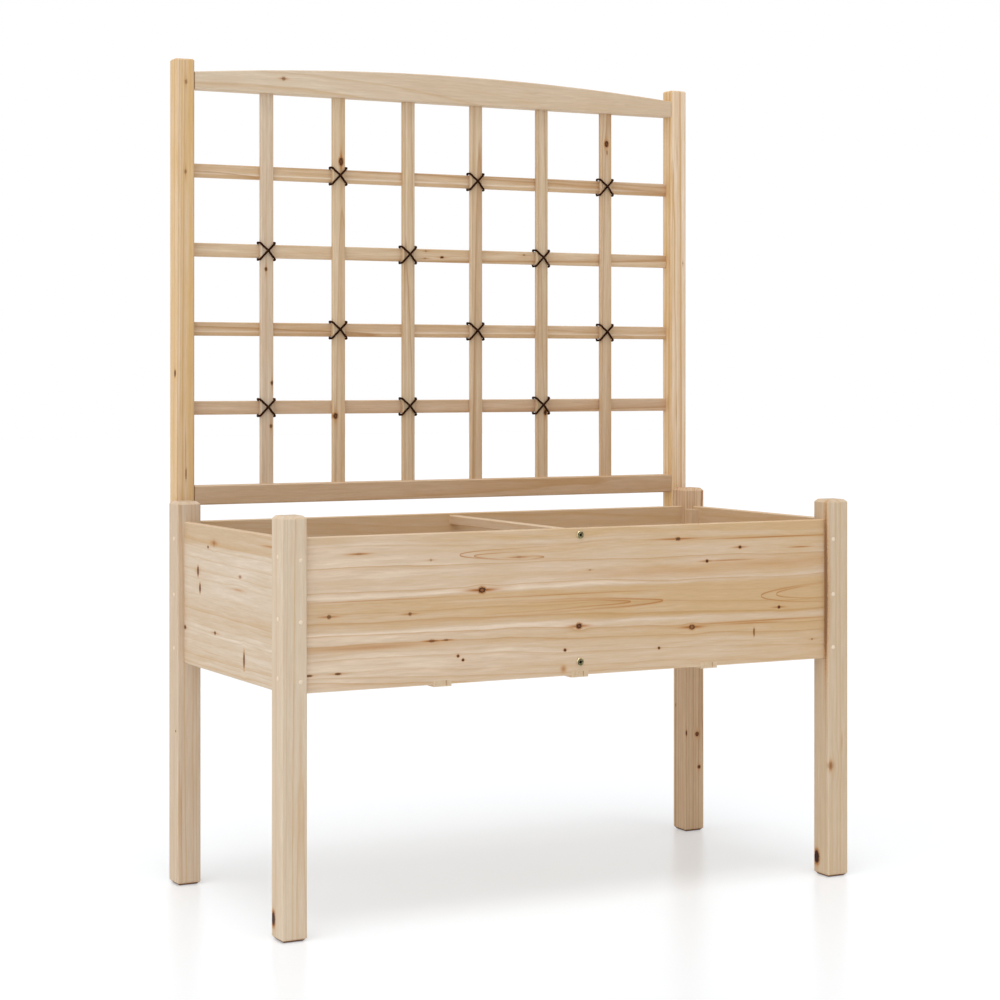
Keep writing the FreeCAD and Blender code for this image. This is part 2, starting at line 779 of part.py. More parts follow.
def make_tie():
    """One cord lashed crosswise over a crossing of two laths, with its knot behind.

    The origin is the middle of the crossing, where the two laths touch. The cord
    crosses the upright in front, passes back above and below the level lath and
    runs down behind it, so that one unbroken length makes the whole cross.
    """
    stand_off = size("cord_gap").value + cord_radius.value
    side = lath.value / 2 + stand_off
    face = -size("lath_thickness").value - stand_off
    rear = size("lath_thickness").value + stand_off
    diameter = size("cord_diameter").value
    crown = face - diameter - size("cord_crossing_gap").value
    # the knot lies flat on the back of the level lath
    knot_radius = stand_off / math.cos(math.pi / CORD_SIDES)
    knot_height = size("knot_height").value
    points = [V(-side, rear - stand_off, side), V(-side, face, side), V(0, crown, 0),
              V(side, face, -side), V(side, rear, -side), V(side, rear, side),
              V(side, face, side), V(-side, face, -side), V(-side, rear, -side),
              V(-side, rear, side - knot_height / 2)]
    rear_turn, front_turn = diameter, size("front_turn_radius").value
    radii = [front_turn, 3 * diameter, front_turn, rear_turn, rear_turn, front_turn,
             front_turn, rear_turn]
    path = rounded_path(points, radii)
    section = regular_polygon(V(0, 0, 0), cord_radius.value, CORD_SIDES)
    section.rotate(V(0, 0, 0), V(1, 0, 0), 90)
    section.translate(points[0])
    cord = path.makePipeShell([section], True, False)
    measured = cord.Volume / (Part.Face(section).Area * path.Length)
    print("tie: length %.1f, turns of radius %s" % (path.Length, sorted(set(radii))))
    print("tie: volume over section times length %.4f" % measured)
    print("tie: least gap to itself %.2f" % least_self_gap(path, diameter))
    return Part.makeCompound([cord, make_knot(knot_radius, knot_height, V(-side, rear, side))])


tie = make_tie()
for row, level in enumerate(ROW_LEVELS):
    crossings = [pointing(COLUMN_PLACES[column], level_y, level, V(0, 0, 1))
                 for column in range((row + 1) % 2, LATTICE_COLUMNS, 2)]
    group("ties_row_%d" % (row + 1), tie, crossings)


# ------------------------------------------------- screws, buttons and bolts

head_depth = size("counterbore_depth")                # of a screw head's underside


def screw_shape(length):
    """A screw with a flat head, its underside at the origin and its shank along Z."""
    shank, head = size("screw_diameter").value / 2, size("screw_head_diameter").value / 2
    top = -size("screw_head_height").value
    return turned([(head, top), (head, 0), (shank, 0), (shank, length.value + top)], SCREW_SIDES)


side_screws, face_screws, trellis_screws, buttons = [], [], [], []
for rear in (False, True):
    leg_y = back - leg if rear else front
    for right in (False, True):
        way = LEFTWARDS if right else RIGHTWARDS
        outer_x = half_width if right else -half_width
        inward = -1 if right else 1
        for level in SIDE_SCREW_LEVELS:
            y = leg_y + panel_middle
            side_screws.append(pointing(outer_x + inward * head_depth, y, level, way))
            buttons.append(pointing(outer_x, y, level, way))
        x = outer_x + inward * size("face_screw_inset")
        for level in FACE_SCREW_LEVELS:
            if rear:
                face_screws.append(pointing(x, back - head_depth, level, FORWARDS))
            else:
                face_screws.append(pointing(x, front + head_depth, level, BACKWARDS))
                buttons.append(pointing(x, front, level, BACKWARDS))
        if rear:
            x = outer_x + inward * trellis_screw_inset
            for level in TRELLIS_SCREW_LEVELS:
                y = back + size("post_depth") - head_depth
                trellis_screws.append(pointing(x, y, level, FORWARDS))

group("side_screws", screw_shape(size("side_screw_length")), side_screws)
group("face_screws", screw_shape(size("face_screw_length")), face_screws)
group("trellis_screws", screw_shape(size("trellis_screw_length")), trellis_screws)


def button_shape():
    """A wooden button that closes a screw hole, its crown just proud of the leg."""
    radius, crown = head_hole_radius.value, size("button_crown").value
    deep = (size("counterbore_depth") - size("screw_head_height")).value
    return turned([(radius * 0.7, -crown), (radius, -crown / 3), (radius, deep)], SCREW_SIDES)


def bolt_shape():
    """A connector bolt with a wide flat head and a hexagon socket, its shank along Z."""
    head, shank = size("bolt_head_diameter").value / 2, size("bolt_diameter").value / 2
    top, long = size("bolt_head_height").value, size("bolt_length").value
    disc = turned([(head - top / 2, -top), (head, -top / 2), (head, 0)], BOLT_HEAD_SIDES)
    socket = regular_polygon(V(0, 0, -top), size("bolt_socket").value / math.sqrt(3), 6)
    disc = disc.cut(Part.Face(socket).extrude(V(0, 0, size("bolt_socket_depth").value)))
    return disc.fuse(turned([(shank, 0), (shank, long)], SCREW_SIDES))


def nut_shape():
    """A barrel nut with its cross hole, lying along Z."""
    radius, long = size("nut_diameter").value / 2, size("nut_length").value
    barrel = turned([(radius, -long / 2), (radius, long / 2)], SCREW_SIDES)
    hole = turned([(bolt_hole_radius.value, -radius), (bolt_hole_radius.value, radius)], SCREW_SIDES)
    return barrel.cut(hole.rotated(V(0, 0, 0), V(1, 0, 0), 90))


group("screw_buttons", button_shape(), buttons)

bolts, nuts = [], []
for level in (upper_bar_level, lower_bar_level):
    bolts.append(pointing(0, front_panel_y, level, BACKWARDS))
    bolts.append(pointing(0, back_panel_y + thick, level, FORWARDS))
    for y in (inner_front + size("nut_inset"), inner_back - size("nut_inset")):
        nuts.append(pointing(0, y, level, V(0, 0, 1)))
group("tie_bar_bolts", bolt_shape(), bolts)
group("tie_bar_nuts", nut_shape(), nuts)


# ------------------------------------------------------------------- export

doc.recompute()
os.makedirs("parts", exist_ok=True)
for item in doc.Objects:
    if "Invalid" in item.State or "Error" in item.State:
        raise RuntimeError("%s failed: %s" % (item.Name, item.State))
    if item.TypeId not in ("PartDesign::Body", "Part::Feature"):
        continue
    if item.Shape.isNull() or not item.Shape.isValid():
        raise RuntimeError("%s has no valid shape" % item.Label)
    item.Shape.exportStep("parts/%s.step" % item.Label)
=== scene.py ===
"""Looks of the planter with trellis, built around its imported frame.

Every board keeps its mesh from the frame and gets a timber material of its own. The ties, the wooden
buttons, the bolts and the screws that show are modelled here, and small slat nails are added.
"""

import logging
import math
from collections.abc import Callable
from dataclasses import dataclass, field, replace
from enum import Enum

import bpy
import bmesh
from mathutils import Matrix, Vector


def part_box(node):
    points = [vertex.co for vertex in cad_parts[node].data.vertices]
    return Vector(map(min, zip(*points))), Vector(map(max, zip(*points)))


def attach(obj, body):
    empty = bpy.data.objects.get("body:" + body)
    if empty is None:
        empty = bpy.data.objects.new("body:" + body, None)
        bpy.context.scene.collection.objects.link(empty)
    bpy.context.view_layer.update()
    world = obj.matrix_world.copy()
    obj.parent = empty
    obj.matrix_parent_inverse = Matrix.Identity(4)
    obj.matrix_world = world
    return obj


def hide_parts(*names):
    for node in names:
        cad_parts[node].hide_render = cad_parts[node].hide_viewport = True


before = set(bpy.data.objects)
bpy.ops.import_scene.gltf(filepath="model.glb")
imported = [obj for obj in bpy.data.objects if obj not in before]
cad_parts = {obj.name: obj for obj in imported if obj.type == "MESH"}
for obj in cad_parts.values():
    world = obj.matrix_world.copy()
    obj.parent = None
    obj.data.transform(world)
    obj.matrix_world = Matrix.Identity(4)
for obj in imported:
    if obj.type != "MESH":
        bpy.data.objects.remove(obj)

logging.basicConfig(level=logging.INFO, format="%(message)s")
log = logging.getLogger("planter")

BODY = "root"
MM = 0.001
NEAR = 1e-7  # metres within which two places are the same
X, Y, Z = range(3)
LOW, HIGH = range(2)
Colour = tuple[float, float, float]
Point = tuple[float, float, float]
Bands = tuple[tuple[float, float], ...]
Socket = bpy.types.NodeSocket
Piece = bpy.types.Object
Material = bpy.types.Material


class Grain(Enum):
    """The way in which a board's grain runs: the rows of the turn that lays the board flat.

    Laid flat, its grain runs along X, its face's width along Y and its thickness along Z.
    """

    ALONG = ((1, 0, 0), (0, 0, 1), (0, -1, 0))
    DEEP = ((0, 1, 0), (0, 0, 1), (1, 0, 0))
    UPRIGHT = ((0, 0, 1), (1, 0, 0), (0, 1, 0))


class Branch(Enum):
    """Where a mark shows: for each of a flat board's directions, which of its sizes it takes there.

    Zero is its size along the grain and one that across it. A direction with none is where it runs
    right through the board. A drying check has its length across the board's end.
    """

    ACROSS_FACE = (0, 1, None)
    ACROSS_EDGE = (0, None, 1)
    ALL_ROUND = (0, None, None)
    SPOT = (0, 1, 1)
    AT_END = (2, 1, 0)


# --------------------------------------------------------------------------------------------------
# Shader graphs
# --------------------------------------------------------------------------------------------------


class Graph:
    """A shader tree with short calls that add a node and link it."""

    def __init__(self, tree: bpy.types.NodeTree) -> None:
        """Takes the node tree of a material or of a group."""
        self.tree = tree

    def add(self, kind: str, **settings: object) -> bpy.types.Node:
        """Adds one node.

        Args:
            kind: The node's type without its ShaderNode prefix.
            settings: The node's own properties.

        Returns:
            The new node.
        """
        node = self.tree.nodes.new("ShaderNode" + kind)
        for name, value in settings.items():
            setattr(node, name, value)
        return node

    def feed(self, entry: Socket, value: object) -> None:
        """Links a socket to an input, or sets the input to a plain value.

        Args:
            entry: The input.
            value: A socket, number, colour or vector.
        """
        if isinstance(value, Socket):
            self.tree.links.new(value, entry)
        elif entry.type == "RGBA" and len(value) == 3:
            entry.default_value = (*value, 1.0)
        else:
            entry.default_value = value

    def math(self, operation: str, first: object, second: object = None, clamp: bool = False) -> Socket:
        """Adds a Math node.

        Args:
            operation: The operation's name.
            first: Its first value.
            second: Its second value, where it has one.
            clamp: Whether the result stays from 0 to 1.

        Returns:
            The result's socket.
        """
        node = self.add("Math", operation=operation, use_clamp=clamp)
        self.feed(node.inputs[0], first)
        if second is not None:
            self.feed(node.inputs[1], second)
        return node.outputs[0]

    def plus(self, first: object, second: object) -> Socket:
        """Adds two numbers."""
        return self.math("ADD", first, second)

    def minus(self, first: object, second: object, clamp: bool = False) -> Socket:
        """Takes the second number from the first."""
        return self.math("SUBTRACT", first, second, clamp)

    def times(self, first: object, second: object, clamp: bool = False) -> Socket:
        """Multiplies two numbers."""
        return self.math("MULTIPLY", first, second, clamp)

    def bell(self, value: object) -> Socket:
        """Gives 1 where the value is 0, falling off smoothly on both sides."""
        return self.math("EXPONENT", self.times(self.times(value, value), -1.0))

    def vector(self, operation: str, first: object, second: object = None) -> Socket:
        """Adds a Vector Math node.

        Args:
            operation: The operation's name.
            first: Its first vector.
            second: Its second vector, where it has one.

        Returns:
            The socket of the vector, or of the number for a length.
        """
        node = self.add("VectorMath", operation=operation)
        self.feed(node.inputs[0], first)
        if second is not None:
            self.feed(node.inputs[1], second)
        return node.outputs["Value" if operation == "LENGTH" else "Vector"]

    def split(self, vector: object) -> list[Socket]:
        """Gives the three numbers of a vector."""
        node = self.add("SeparateXYZ")
        self.feed(node.inputs[0], vector)
        return list(node.outputs)

    def join(self, *amounts: object) -> Socket:
        """Makes a vector of three numbers."""
        node = self.add("CombineXYZ")
        for entry, amount in zip(node.inputs, amounts):
            self.feed(entry, amount)
        return node.outputs[0]

    def mix(self, share: object, first: object, second: object, blend: str = "MIX") -> Socket:
        """Mixes two colours.

        Args:
            share: How much of the second colour shows.
            first: The first colour.
            second: The second colour.
            blend: The blend mode.

        Returns:
            The mixed colour's socket.
        """
        node = self.add("Mix", data_type="RGBA", blend_type=blend)
        self.feed(node.inputs[0], share)
        self.feed(node.inputs[6], first)
        self.feed(node.inputs[7], second)
        return node.outputs[2]

    def remap(
        self, value: object, low: float, high: float, to_low: float = 0.0, to_high: float = 1.0
    ) -> Socket:
        """Maps a range smoothly onto another.

        Args:
            value: The value.
            low: Where the range starts.
            high: Where the range ends.
            to_low: What low becomes.
            to_high: What high becomes.

        Returns:
            The mapped value's socket.
        """
        node = self.add("MapRange", interpolation_type="SMOOTHSTEP")
        limits = (("From Min", low), ("From Max", high), ("To Min", to_low), ("To Max", to_high))
        for name, amount in (("Value", value), *limits):
            self.feed(node.inputs[name], amount)
        return node.outputs["Result"]

    def ramp(self, value: object, stops: list[tuple[float, float]]) -> Socket:
        """Turns a value into another by a ramp of greys.

        Args:
            value: The value, from 0 to 1.
            stops: Pairs of a place and the grey there.

        Returns:
            The grey's socket.
        """
        node = self.add("ValToRGB")
        elements = node.color_ramp.elements
        while len(elements) < len(stops):
            elements.new(0.5)
        for element, (place, grey) in zip(elements, stops):
            element.position = place
            element.color = (grey, grey, grey, 1.0)
        self.feed(node.inputs[0], value)
        return node.outputs[0]

    def noise(self, vector: object, scale: float, detail: float = 2.0, rough: float = 0.5) -> Socket:
        """Adds a noise texture.

        Args:
            vector: Where it is read.
            scale: Its scale.
            detail: Its octaves.
            rough: How strong the fine octaves are.

        Returns:
            The noise's grey socket, about 0.5 on average.
        """
        node = self.add("TexNoise")
        self.feed(node.inputs["Vector"], vector)
        for name, amount in (("Scale", scale), ("Detail", detail), ("Roughness", rough)):
            node.inputs[name].default_value = amount
        return node.outputs["Fac"]

    def place(self, group: bpy.types.NodeTree, values: dict[str, object]) -> bpy.types.Node:
        """Places a shared group.

        Args:
            group: The group.
            values: Its inputs by name.

        Returns:
            The group's node.
        """
        node = self.add("Group")
        node.node_tree = group
        for name, value in values.items():
            self.feed(node.inputs[name], value)
        return node

    def relief(self, shader: bpy.types.Node, height: Socket, strength: float, deep: float) -> None:
        """Gives a surface a fine relief.

        Args:
            shader: The material's Principled BSDF.
            height: The relief's height, from 0 to 1.
            strength: How strongly it shows.
            deep: How deep it is, in mm.
        """
        bump = self.add("Bump")
        bump.inputs["Strength"].default_value = strength
        bump.inputs["Distance"].default_value = deep * MM
        self.feed(bump.inputs["Height"], height)
        self.feed(shader.inputs["Normal"], bump.outputs[0])


def new_material(name: str) -> tuple[Material, Graph, bpy.types.Node]:
    """Starts a material.

    Args:
        name: The material's name.

    Returns:
        The material, its graph and its Principled BSDF.
    """
    material = bpy.data.materials.new(name)
    material.use_nodes = True
    return material, Graph(material.node_tree), material.node_tree.nodes["Principled BSDF"]


def new_group(
    name: str, entries: dict[str, tuple[str, object]], exits: dict[str, str]
) -> tuple[Graph, object, object]:
    """Starts a shared node group.

    Args:
        name: The group's name.
        entries: For each input its kind and default.
        exits: For each output its kind.

    Returns:
        The group's graph, its input sockets and its output sockets.
    """
    tree = bpy.data.node_groups.new(name, "ShaderNodeTree")
    for label, (kind, default) in entries.items():
        entry = tree.interface.new_socket(name=label, in_out="INPUT", socket_type="NodeSocket" + kind)
        entry.default_value = (*default, 1.0) if kind == "Color" else default
    for label, kind in exits.items():
        tree.interface.new_socket(name=label, in_out="OUTPUT", socket_type="NodeSocket" + kind)
    start = tree.nodes.new("NodeGroupInput")
    end = tree.nodes.new("NodeGroupOutput")
    return Graph(tree), start.outputs, end.inputs


def warp_group() -> bpy.types.NodeTree:
    """Makes the group that lets a board's grain waver.

    Returns:
        The group: board coordinates in, wavering ones out.
    """
    graph, start, end = new_group(
        "grain_waver",
        {"Vector": ("Vector", (0, 0, 0)), "Seed": ("Float", 0.0), "Waver": ("Float", 0.004)},
        {"Vector": "Vector", "Slow": "Float"},
    )
    moved = graph.vector("ADD", start["Vector"], graph.join(start["Seed"], start["Seed"], 0.0))
    slow = graph.noise(graph.vector("MULTIPLY", moved, (2.2, 9.0, 9.0)), 1.0, 2.0)
    quick = graph.noise(graph.vector("MULTIPLY", moved, (9.0, 50.0, 50.0)), 1.0, 2.0)
    sway = graph.plus(graph.minus(slow, 0.5), graph.times(graph.minus(quick, 0.5), 0.22))
    amount = graph.times(sway, graph.times(start["Waver"], 4.0))
    aside = graph.join(0.0, amount, graph.times(amount, 0.6))
    graph.feed(end["Vector"], graph.vector("ADD", start["Vector"], aside))
    graph.feed(end["Slow"], slow)
    return graph.tree


def knot_group() -> bpy.types.NodeTree:
    """Makes the group that draws one knot, fleck or line of painted shade.

    Returns:
        The group: how far the grain is pushed aside, its brown stain and its dark core.
    """
    graph, start, end = new_group(
        "knot",
        {
            "Vector": ("Vector", (0, 0, 0)),
            "Centre": ("Vector", (0, 0, 0)),
            "Scale": ("Vector", (1, 1, 0)),
            "Length": ("Float", 4.0),
            "Core": ("Float", 1.0),
            "Heart": ("Float", 0.0),
            "Streak": ("Float", 0.6),
            "Push": ("Float", 0.5),
        },
        {"Push": "Float", "Stain": "Float", "Dark": "Float"},
    )
    offset = graph.vector("SUBTRACT", start["Vector"], start["Centre"])
    near = graph.vector("MULTIPLY", offset, start["Scale"])
    uneven = graph.times(graph.minus(graph.noise(start["Vector"], 420.0, 2.0), 0.5), 0.9)
    radius = graph.plus(graph.vector("LENGTH", near), uneven)
    inside = graph.remap(radius, 0.75, 1.15, 1.0, 0.0)
    heart = graph.times(graph.remap(radius, 0.15, 0.75, 1.0, 0.0), start["Heart"])
    halo = graph.remap(radius, 0.8, 1.9, 0.75, 0.0)
    # The stain trails off along the grain, and the grain is pushed aside a little farther out.
    trailing = graph.join(graph.math("DIVIDE", 1.0, start["Length"]), 1.5, 1.5)
    trail = graph.bell(graph.vector("LENGTH", graph.vector("MULTIPLY", near, trailing)))
    around = graph.bell(graph.vector("LENGTH", graph.vector("MULTIPLY", near, (0.34, 0.45, 0.45))))
    push = graph.times(graph.times(graph.split(offset)[1], around), start["Push"])
    stain = graph.math("MAXIMUM", graph.times(trail, start["Streak"]), graph.times(halo, start["Core"]))
    graph.feed(end["Push"], graph.times(push, -1.0))
    graph.feed(end["Stain"], stain)
    graph.feed(end["Dark"], graph.times(graph.minus(inside, heart, clamp=True), start["Core"]))
    return graph.tree


def flame_group() -> bpy.types.NodeTree:
    """Makes the group that draws one pointed growth line, as where a board cuts a ring at a slant.

    Returns:
        The group: the line itself and the warm wood inside it.
    """
    graph, start, end = new_group(
        "flame",
        {
            "Vector": ("Vector", (0, 0, 0)),
            "Tip": ("Vector", (0, 0, 0)),
            "Way": ("Float", 1.0),
            "Spread": ("Float", 0.001),
            "Reach": ("Float", 0.1),
            "Width": ("Float", 0.0012),
        },
        {"Line": "Float", "Inside": "Float"},
    )
    along, across, _ = graph.split(graph.vector("SUBTRACT", start["Vector"], start["Tip"]))
    along = graph.times(along, start["Way"])
    behind = graph.math("MAXIMUM", along, 0.0)
    opening = graph.math("SQRT", graph.times(behind, start["Spread"]))
    share = graph.math("DIVIDE", graph.minus(graph.math("ABSOLUTE", across), opening), start["Width"])
    fade = graph.math("EXPONENT", graph.times(graph.math("DIVIDE", behind, start["Reach"]), -1.0))
    fade = graph.times(fade, graph.math("GREATER_THAN", along, 0.0))
    graph.feed(end["Line"], graph.times(graph.bell(share), fade))
    graph.feed(end["Inside"], graph.times(graph.remap(share, -2.0, 0.0, 1.0, 0.0), fade))
    return graph.tree


# Pale colour near every edge: wear, and a painted highlight along the rounded arrises.
EDGE_WEAR_AND_HIGHLIGHT: Colour = (0.86, 0.74, 0.58)
# These stain colours also draw the painted shade lines: at the feet, and where the front panel meets the
# right front leg.
STAIN_AND_SHADE: Colour = (0.52, 0.235, 0.06)
DEEP_STAIN_AND_SHADE: Colour = (0.22, 0.06, 0.018)
KNOT_WOOD_AND_SHADE: Colour = (0.035, 0.010, 0.005)


def timber_group() -> bpy.types.NodeTree:
    """Makes the group that colours planed softwood: rings, fibres, end grain and eased edges, lightened as
    wear and a painted highlight.

    Returns:
        The group: colour, roughness and height.
    """
    graph, start, end = new_group(
        "planed_softwood",
        {
            "Vector": ("Vector", (0, 0, 0)),
            "Plain Vector": ("Vector", (0, 0, 0)),
            "Normal": ("Vector", (0, 0, 1)),
            "Slow": ("Float", 0.5),
            "Seed": ("Float", 0.0),
            "Pitch": ("Float", 0.005),
            "Depth": ("Float", 0.06),
            "Side": ("Float", 0.0),
            "Lean": ("Float", 0.02),
            "Push": ("Float", 0.0),
            "Warmth": ("Float", 0.3),
            "Lines": ("Float", 0.5),
            "Fibre": ("Float", 0.2),
            "Stain": ("Float", 0.0),
            "Dark": ("Float", 0.0),
            "Half": ("Vector", (1, 1, 1)),
            "Pale": ("Color", (0.65, 0.5, 0.36)),
            "Sap": ("Color", (0.76, 0.62, 0.47)),
            "Warm": ("Color", (0.6, 0.42, 0.24)),
            "Line": ("Color", (0.4, 0.23, 0.1)),
        },
        {"Color": "Color", "Roughness": "Float", "Height": "Float"},
    )
    along, width, deep = graph.split(start["Vector"])
    across = graph.minus(graph.plus(width, start["Push"]), start["Side"])
    below = graph.plus(graph.plus(deep, start["Depth"]), graph.times(along, start["Lean"]))
    radius = graph.math("SQRT", graph.plus(graph.times(across, across), graph.times(below, below)))
    steps = graph.math("DIVIDE", radius, start["Pitch"])
    season = graph.add("TexNoise", noise_dimensions="1D")
    graph.feed(season.inputs["W"], graph.plus(graph.times(steps, 0.23), start["Seed"]))
    season.inputs["Scale"].default_value = 1.0
    rings = graph.plus(steps, graph.times(season.outputs["Fac"], 4.0))
    # Within a year the wood darkens slowly and then clears at once, and no two years are as strong.
    year = [(0.0, 0.12), (0.1, 0.0), (0.45, 0.04), (0.8, 0.45), (0.93, 1.0), (1.0, 0.2)]
    late = graph.ramp(graph.math("FRACT", rings), year)
    white = graph.add("TexWhiteNoise", noise_dimensions="1D")
    graph.feed(white.inputs["W"], graph.plus(graph.math("FLOOR", rings), start["Seed"]))
    strength = graph.remap(white.outputs["Value"], 0.1, 1.0, 0.08, 1.15)
    parted = graph.vector("MULTIPLY", start["Vector"], (1.0, 14.0, 14.0))
    streaks = graph.noise(graph.vector("MULTIPLY", parted, (9.0, 9.0, 9.0)), 1.0, 3.0, 0.6)
    fibres = graph.noise(graph.vector("MULTIPLY", parted, (26.0, 55.0, 55.0)), 1.0, 3.0, 0.7)
    # Cut across, the fibres show as fine pores.
    butt = graph.remap(graph.math("ABSOLUTE", graph.split(start["Normal"])[0]), 0.75, 0.95)
    pores = graph.noise(start["Plain Vector"], 1400.0, 2.0, 0.8)
    # The distance to the nearest edge is the second smallest of the three to the faces.
    middle_out = graph.vector("ABSOLUTE", start["Plain Vector"])
    inset = graph.split(graph.vector("SUBTRACT", start["Half"], middle_out))
    low = graph.math("MINIMUM", inset[0], inset[1])
    high = graph.math("MAXIMUM", inset[0], inset[1])
    edge = graph.math("MAXIMUM", low, graph.math("MINIMUM", high, inset[2]))
    # Near every edge the wood is lightened: wear, and a painted highlight along the rounded arrises.
    frayed = graph.plus(edge, graph.times(graph.minus(streaks, 0.5), 0.002))
    wear_and_highlight = graph.remap(frayed, 0.0002, 0.0024, 1.0, 0.0)
    warmth = graph.plus(start["Warmth"], graph.times(graph.minus(start["Slow"], 0.5), 0.9))
    warmth = graph.plus(warmth, graph.times(graph.minus(streaks, 0.5), 1.7))
    colour = graph.mix(graph.times(warmth, 1.0, clamp=True), start["Pale"], start["Warm"])
    colour = graph.mix(graph.times(warmth, -1.6, clamp=True), colour, start["Sap"])
    lines = graph.times(graph.times(late, strength), start["Lines"])
    colour = graph.mix(lines, colour, start["Line"])
    shade = graph.plus(graph.times(graph.minus(fibres, 0.5), start["Fibre"]), 1.0)
    shade = graph.minus(shade, graph.times(butt, graph.plus(graph.times(pores, 0.25), -0.02)))
    tint = graph.add("CombineColor")
    for entry in tint.inputs:
        graph.feed(entry, shade)
    colour = graph.mix(1.0, colour, tint.outputs[0], "MULTIPLY")
    colour = graph.mix(graph.times(wear_and_highlight, 0.22), colour, EDGE_WEAR_AND_HIGHLIGHT)
    # Stains and painted shade lines take the resin colours, and dark cores and the darkest shade lines take
    # the knot wood.
    colour = graph.mix(graph.times(start["Stain"], 1.3, clamp=True), colour, STAIN_AND_SHADE)
    deeper = graph.times(graph.times(start["Stain"], start["Stain"]), 1.1, clamp=True)
    colour = graph.mix(deeper, colour, DEEP_STAIN_AND_SHADE)
    graph.feed(end["Color"], graph.mix(graph.times(start["Dark"], 1.0, clamp=True), colour, KNOT_WOOD_AND_SHADE))
    rough = graph.plus(graph.times(fibres, 0.16), 0.54)
    rough = graph.minus(rough, graph.times(start["Dark"], 0.15))
    graph.feed(end["Roughness"], graph.plus(rough, graph.times(butt, 0.12)))
    raised = graph.plus(graph.times(streaks, 0.4), graph.times(fibres, 0.5))
    graph.feed(end["Height"], graph.plus(raised, graph.times(graph.times(pores, butt), 0.8)))
    return graph.tree


WARP = warp_group()
KNOT = knot_group()
FLAME = flame_group()
TIMBER = timber_group()


# --------------------------------------------------------------------------------------------------
# Finishes
# --------------------------------------------------------------------------------------------------


@dataclass(frozen=True)
class Knot:
    """One knot, fleck or resin mark of a board, or a line of painted shade where parts meet or a foot stands
    on the floor.

    Place is where it shows, in the frame's metres, and size its half width and half height there in
    mm, along and across the grain. Streak is how strongly the grain beside it is stained, and length
    how far that goes, in knots. Core is how dark it is, heart how pale its middle is again, and push
    how far the grain bends round it.
    """

    place: Point
    size: tuple[float, float]
    streak: float = 0.5
    length: float = 4.0
    core: float = 1.0
    push: float = 0.6
    branch: Branch = Branch.ACROSS_FACE
    heart: float = 0.0


@dataclass(frozen=True)
class Flame:
    """One pointed growth line.

    Tip is the place of its point, and way the side to which it opens, 1 or -1 along the grain. Spread
    is how fast it opens, reach how soon it fades and width how wide the line is, in mm. Inside is
    how much warmer the wood within it is.
    """

    tip: Point
    way: float
    spread: float
    reach: float
    width: float = 1.2
    inside: float = 0.5


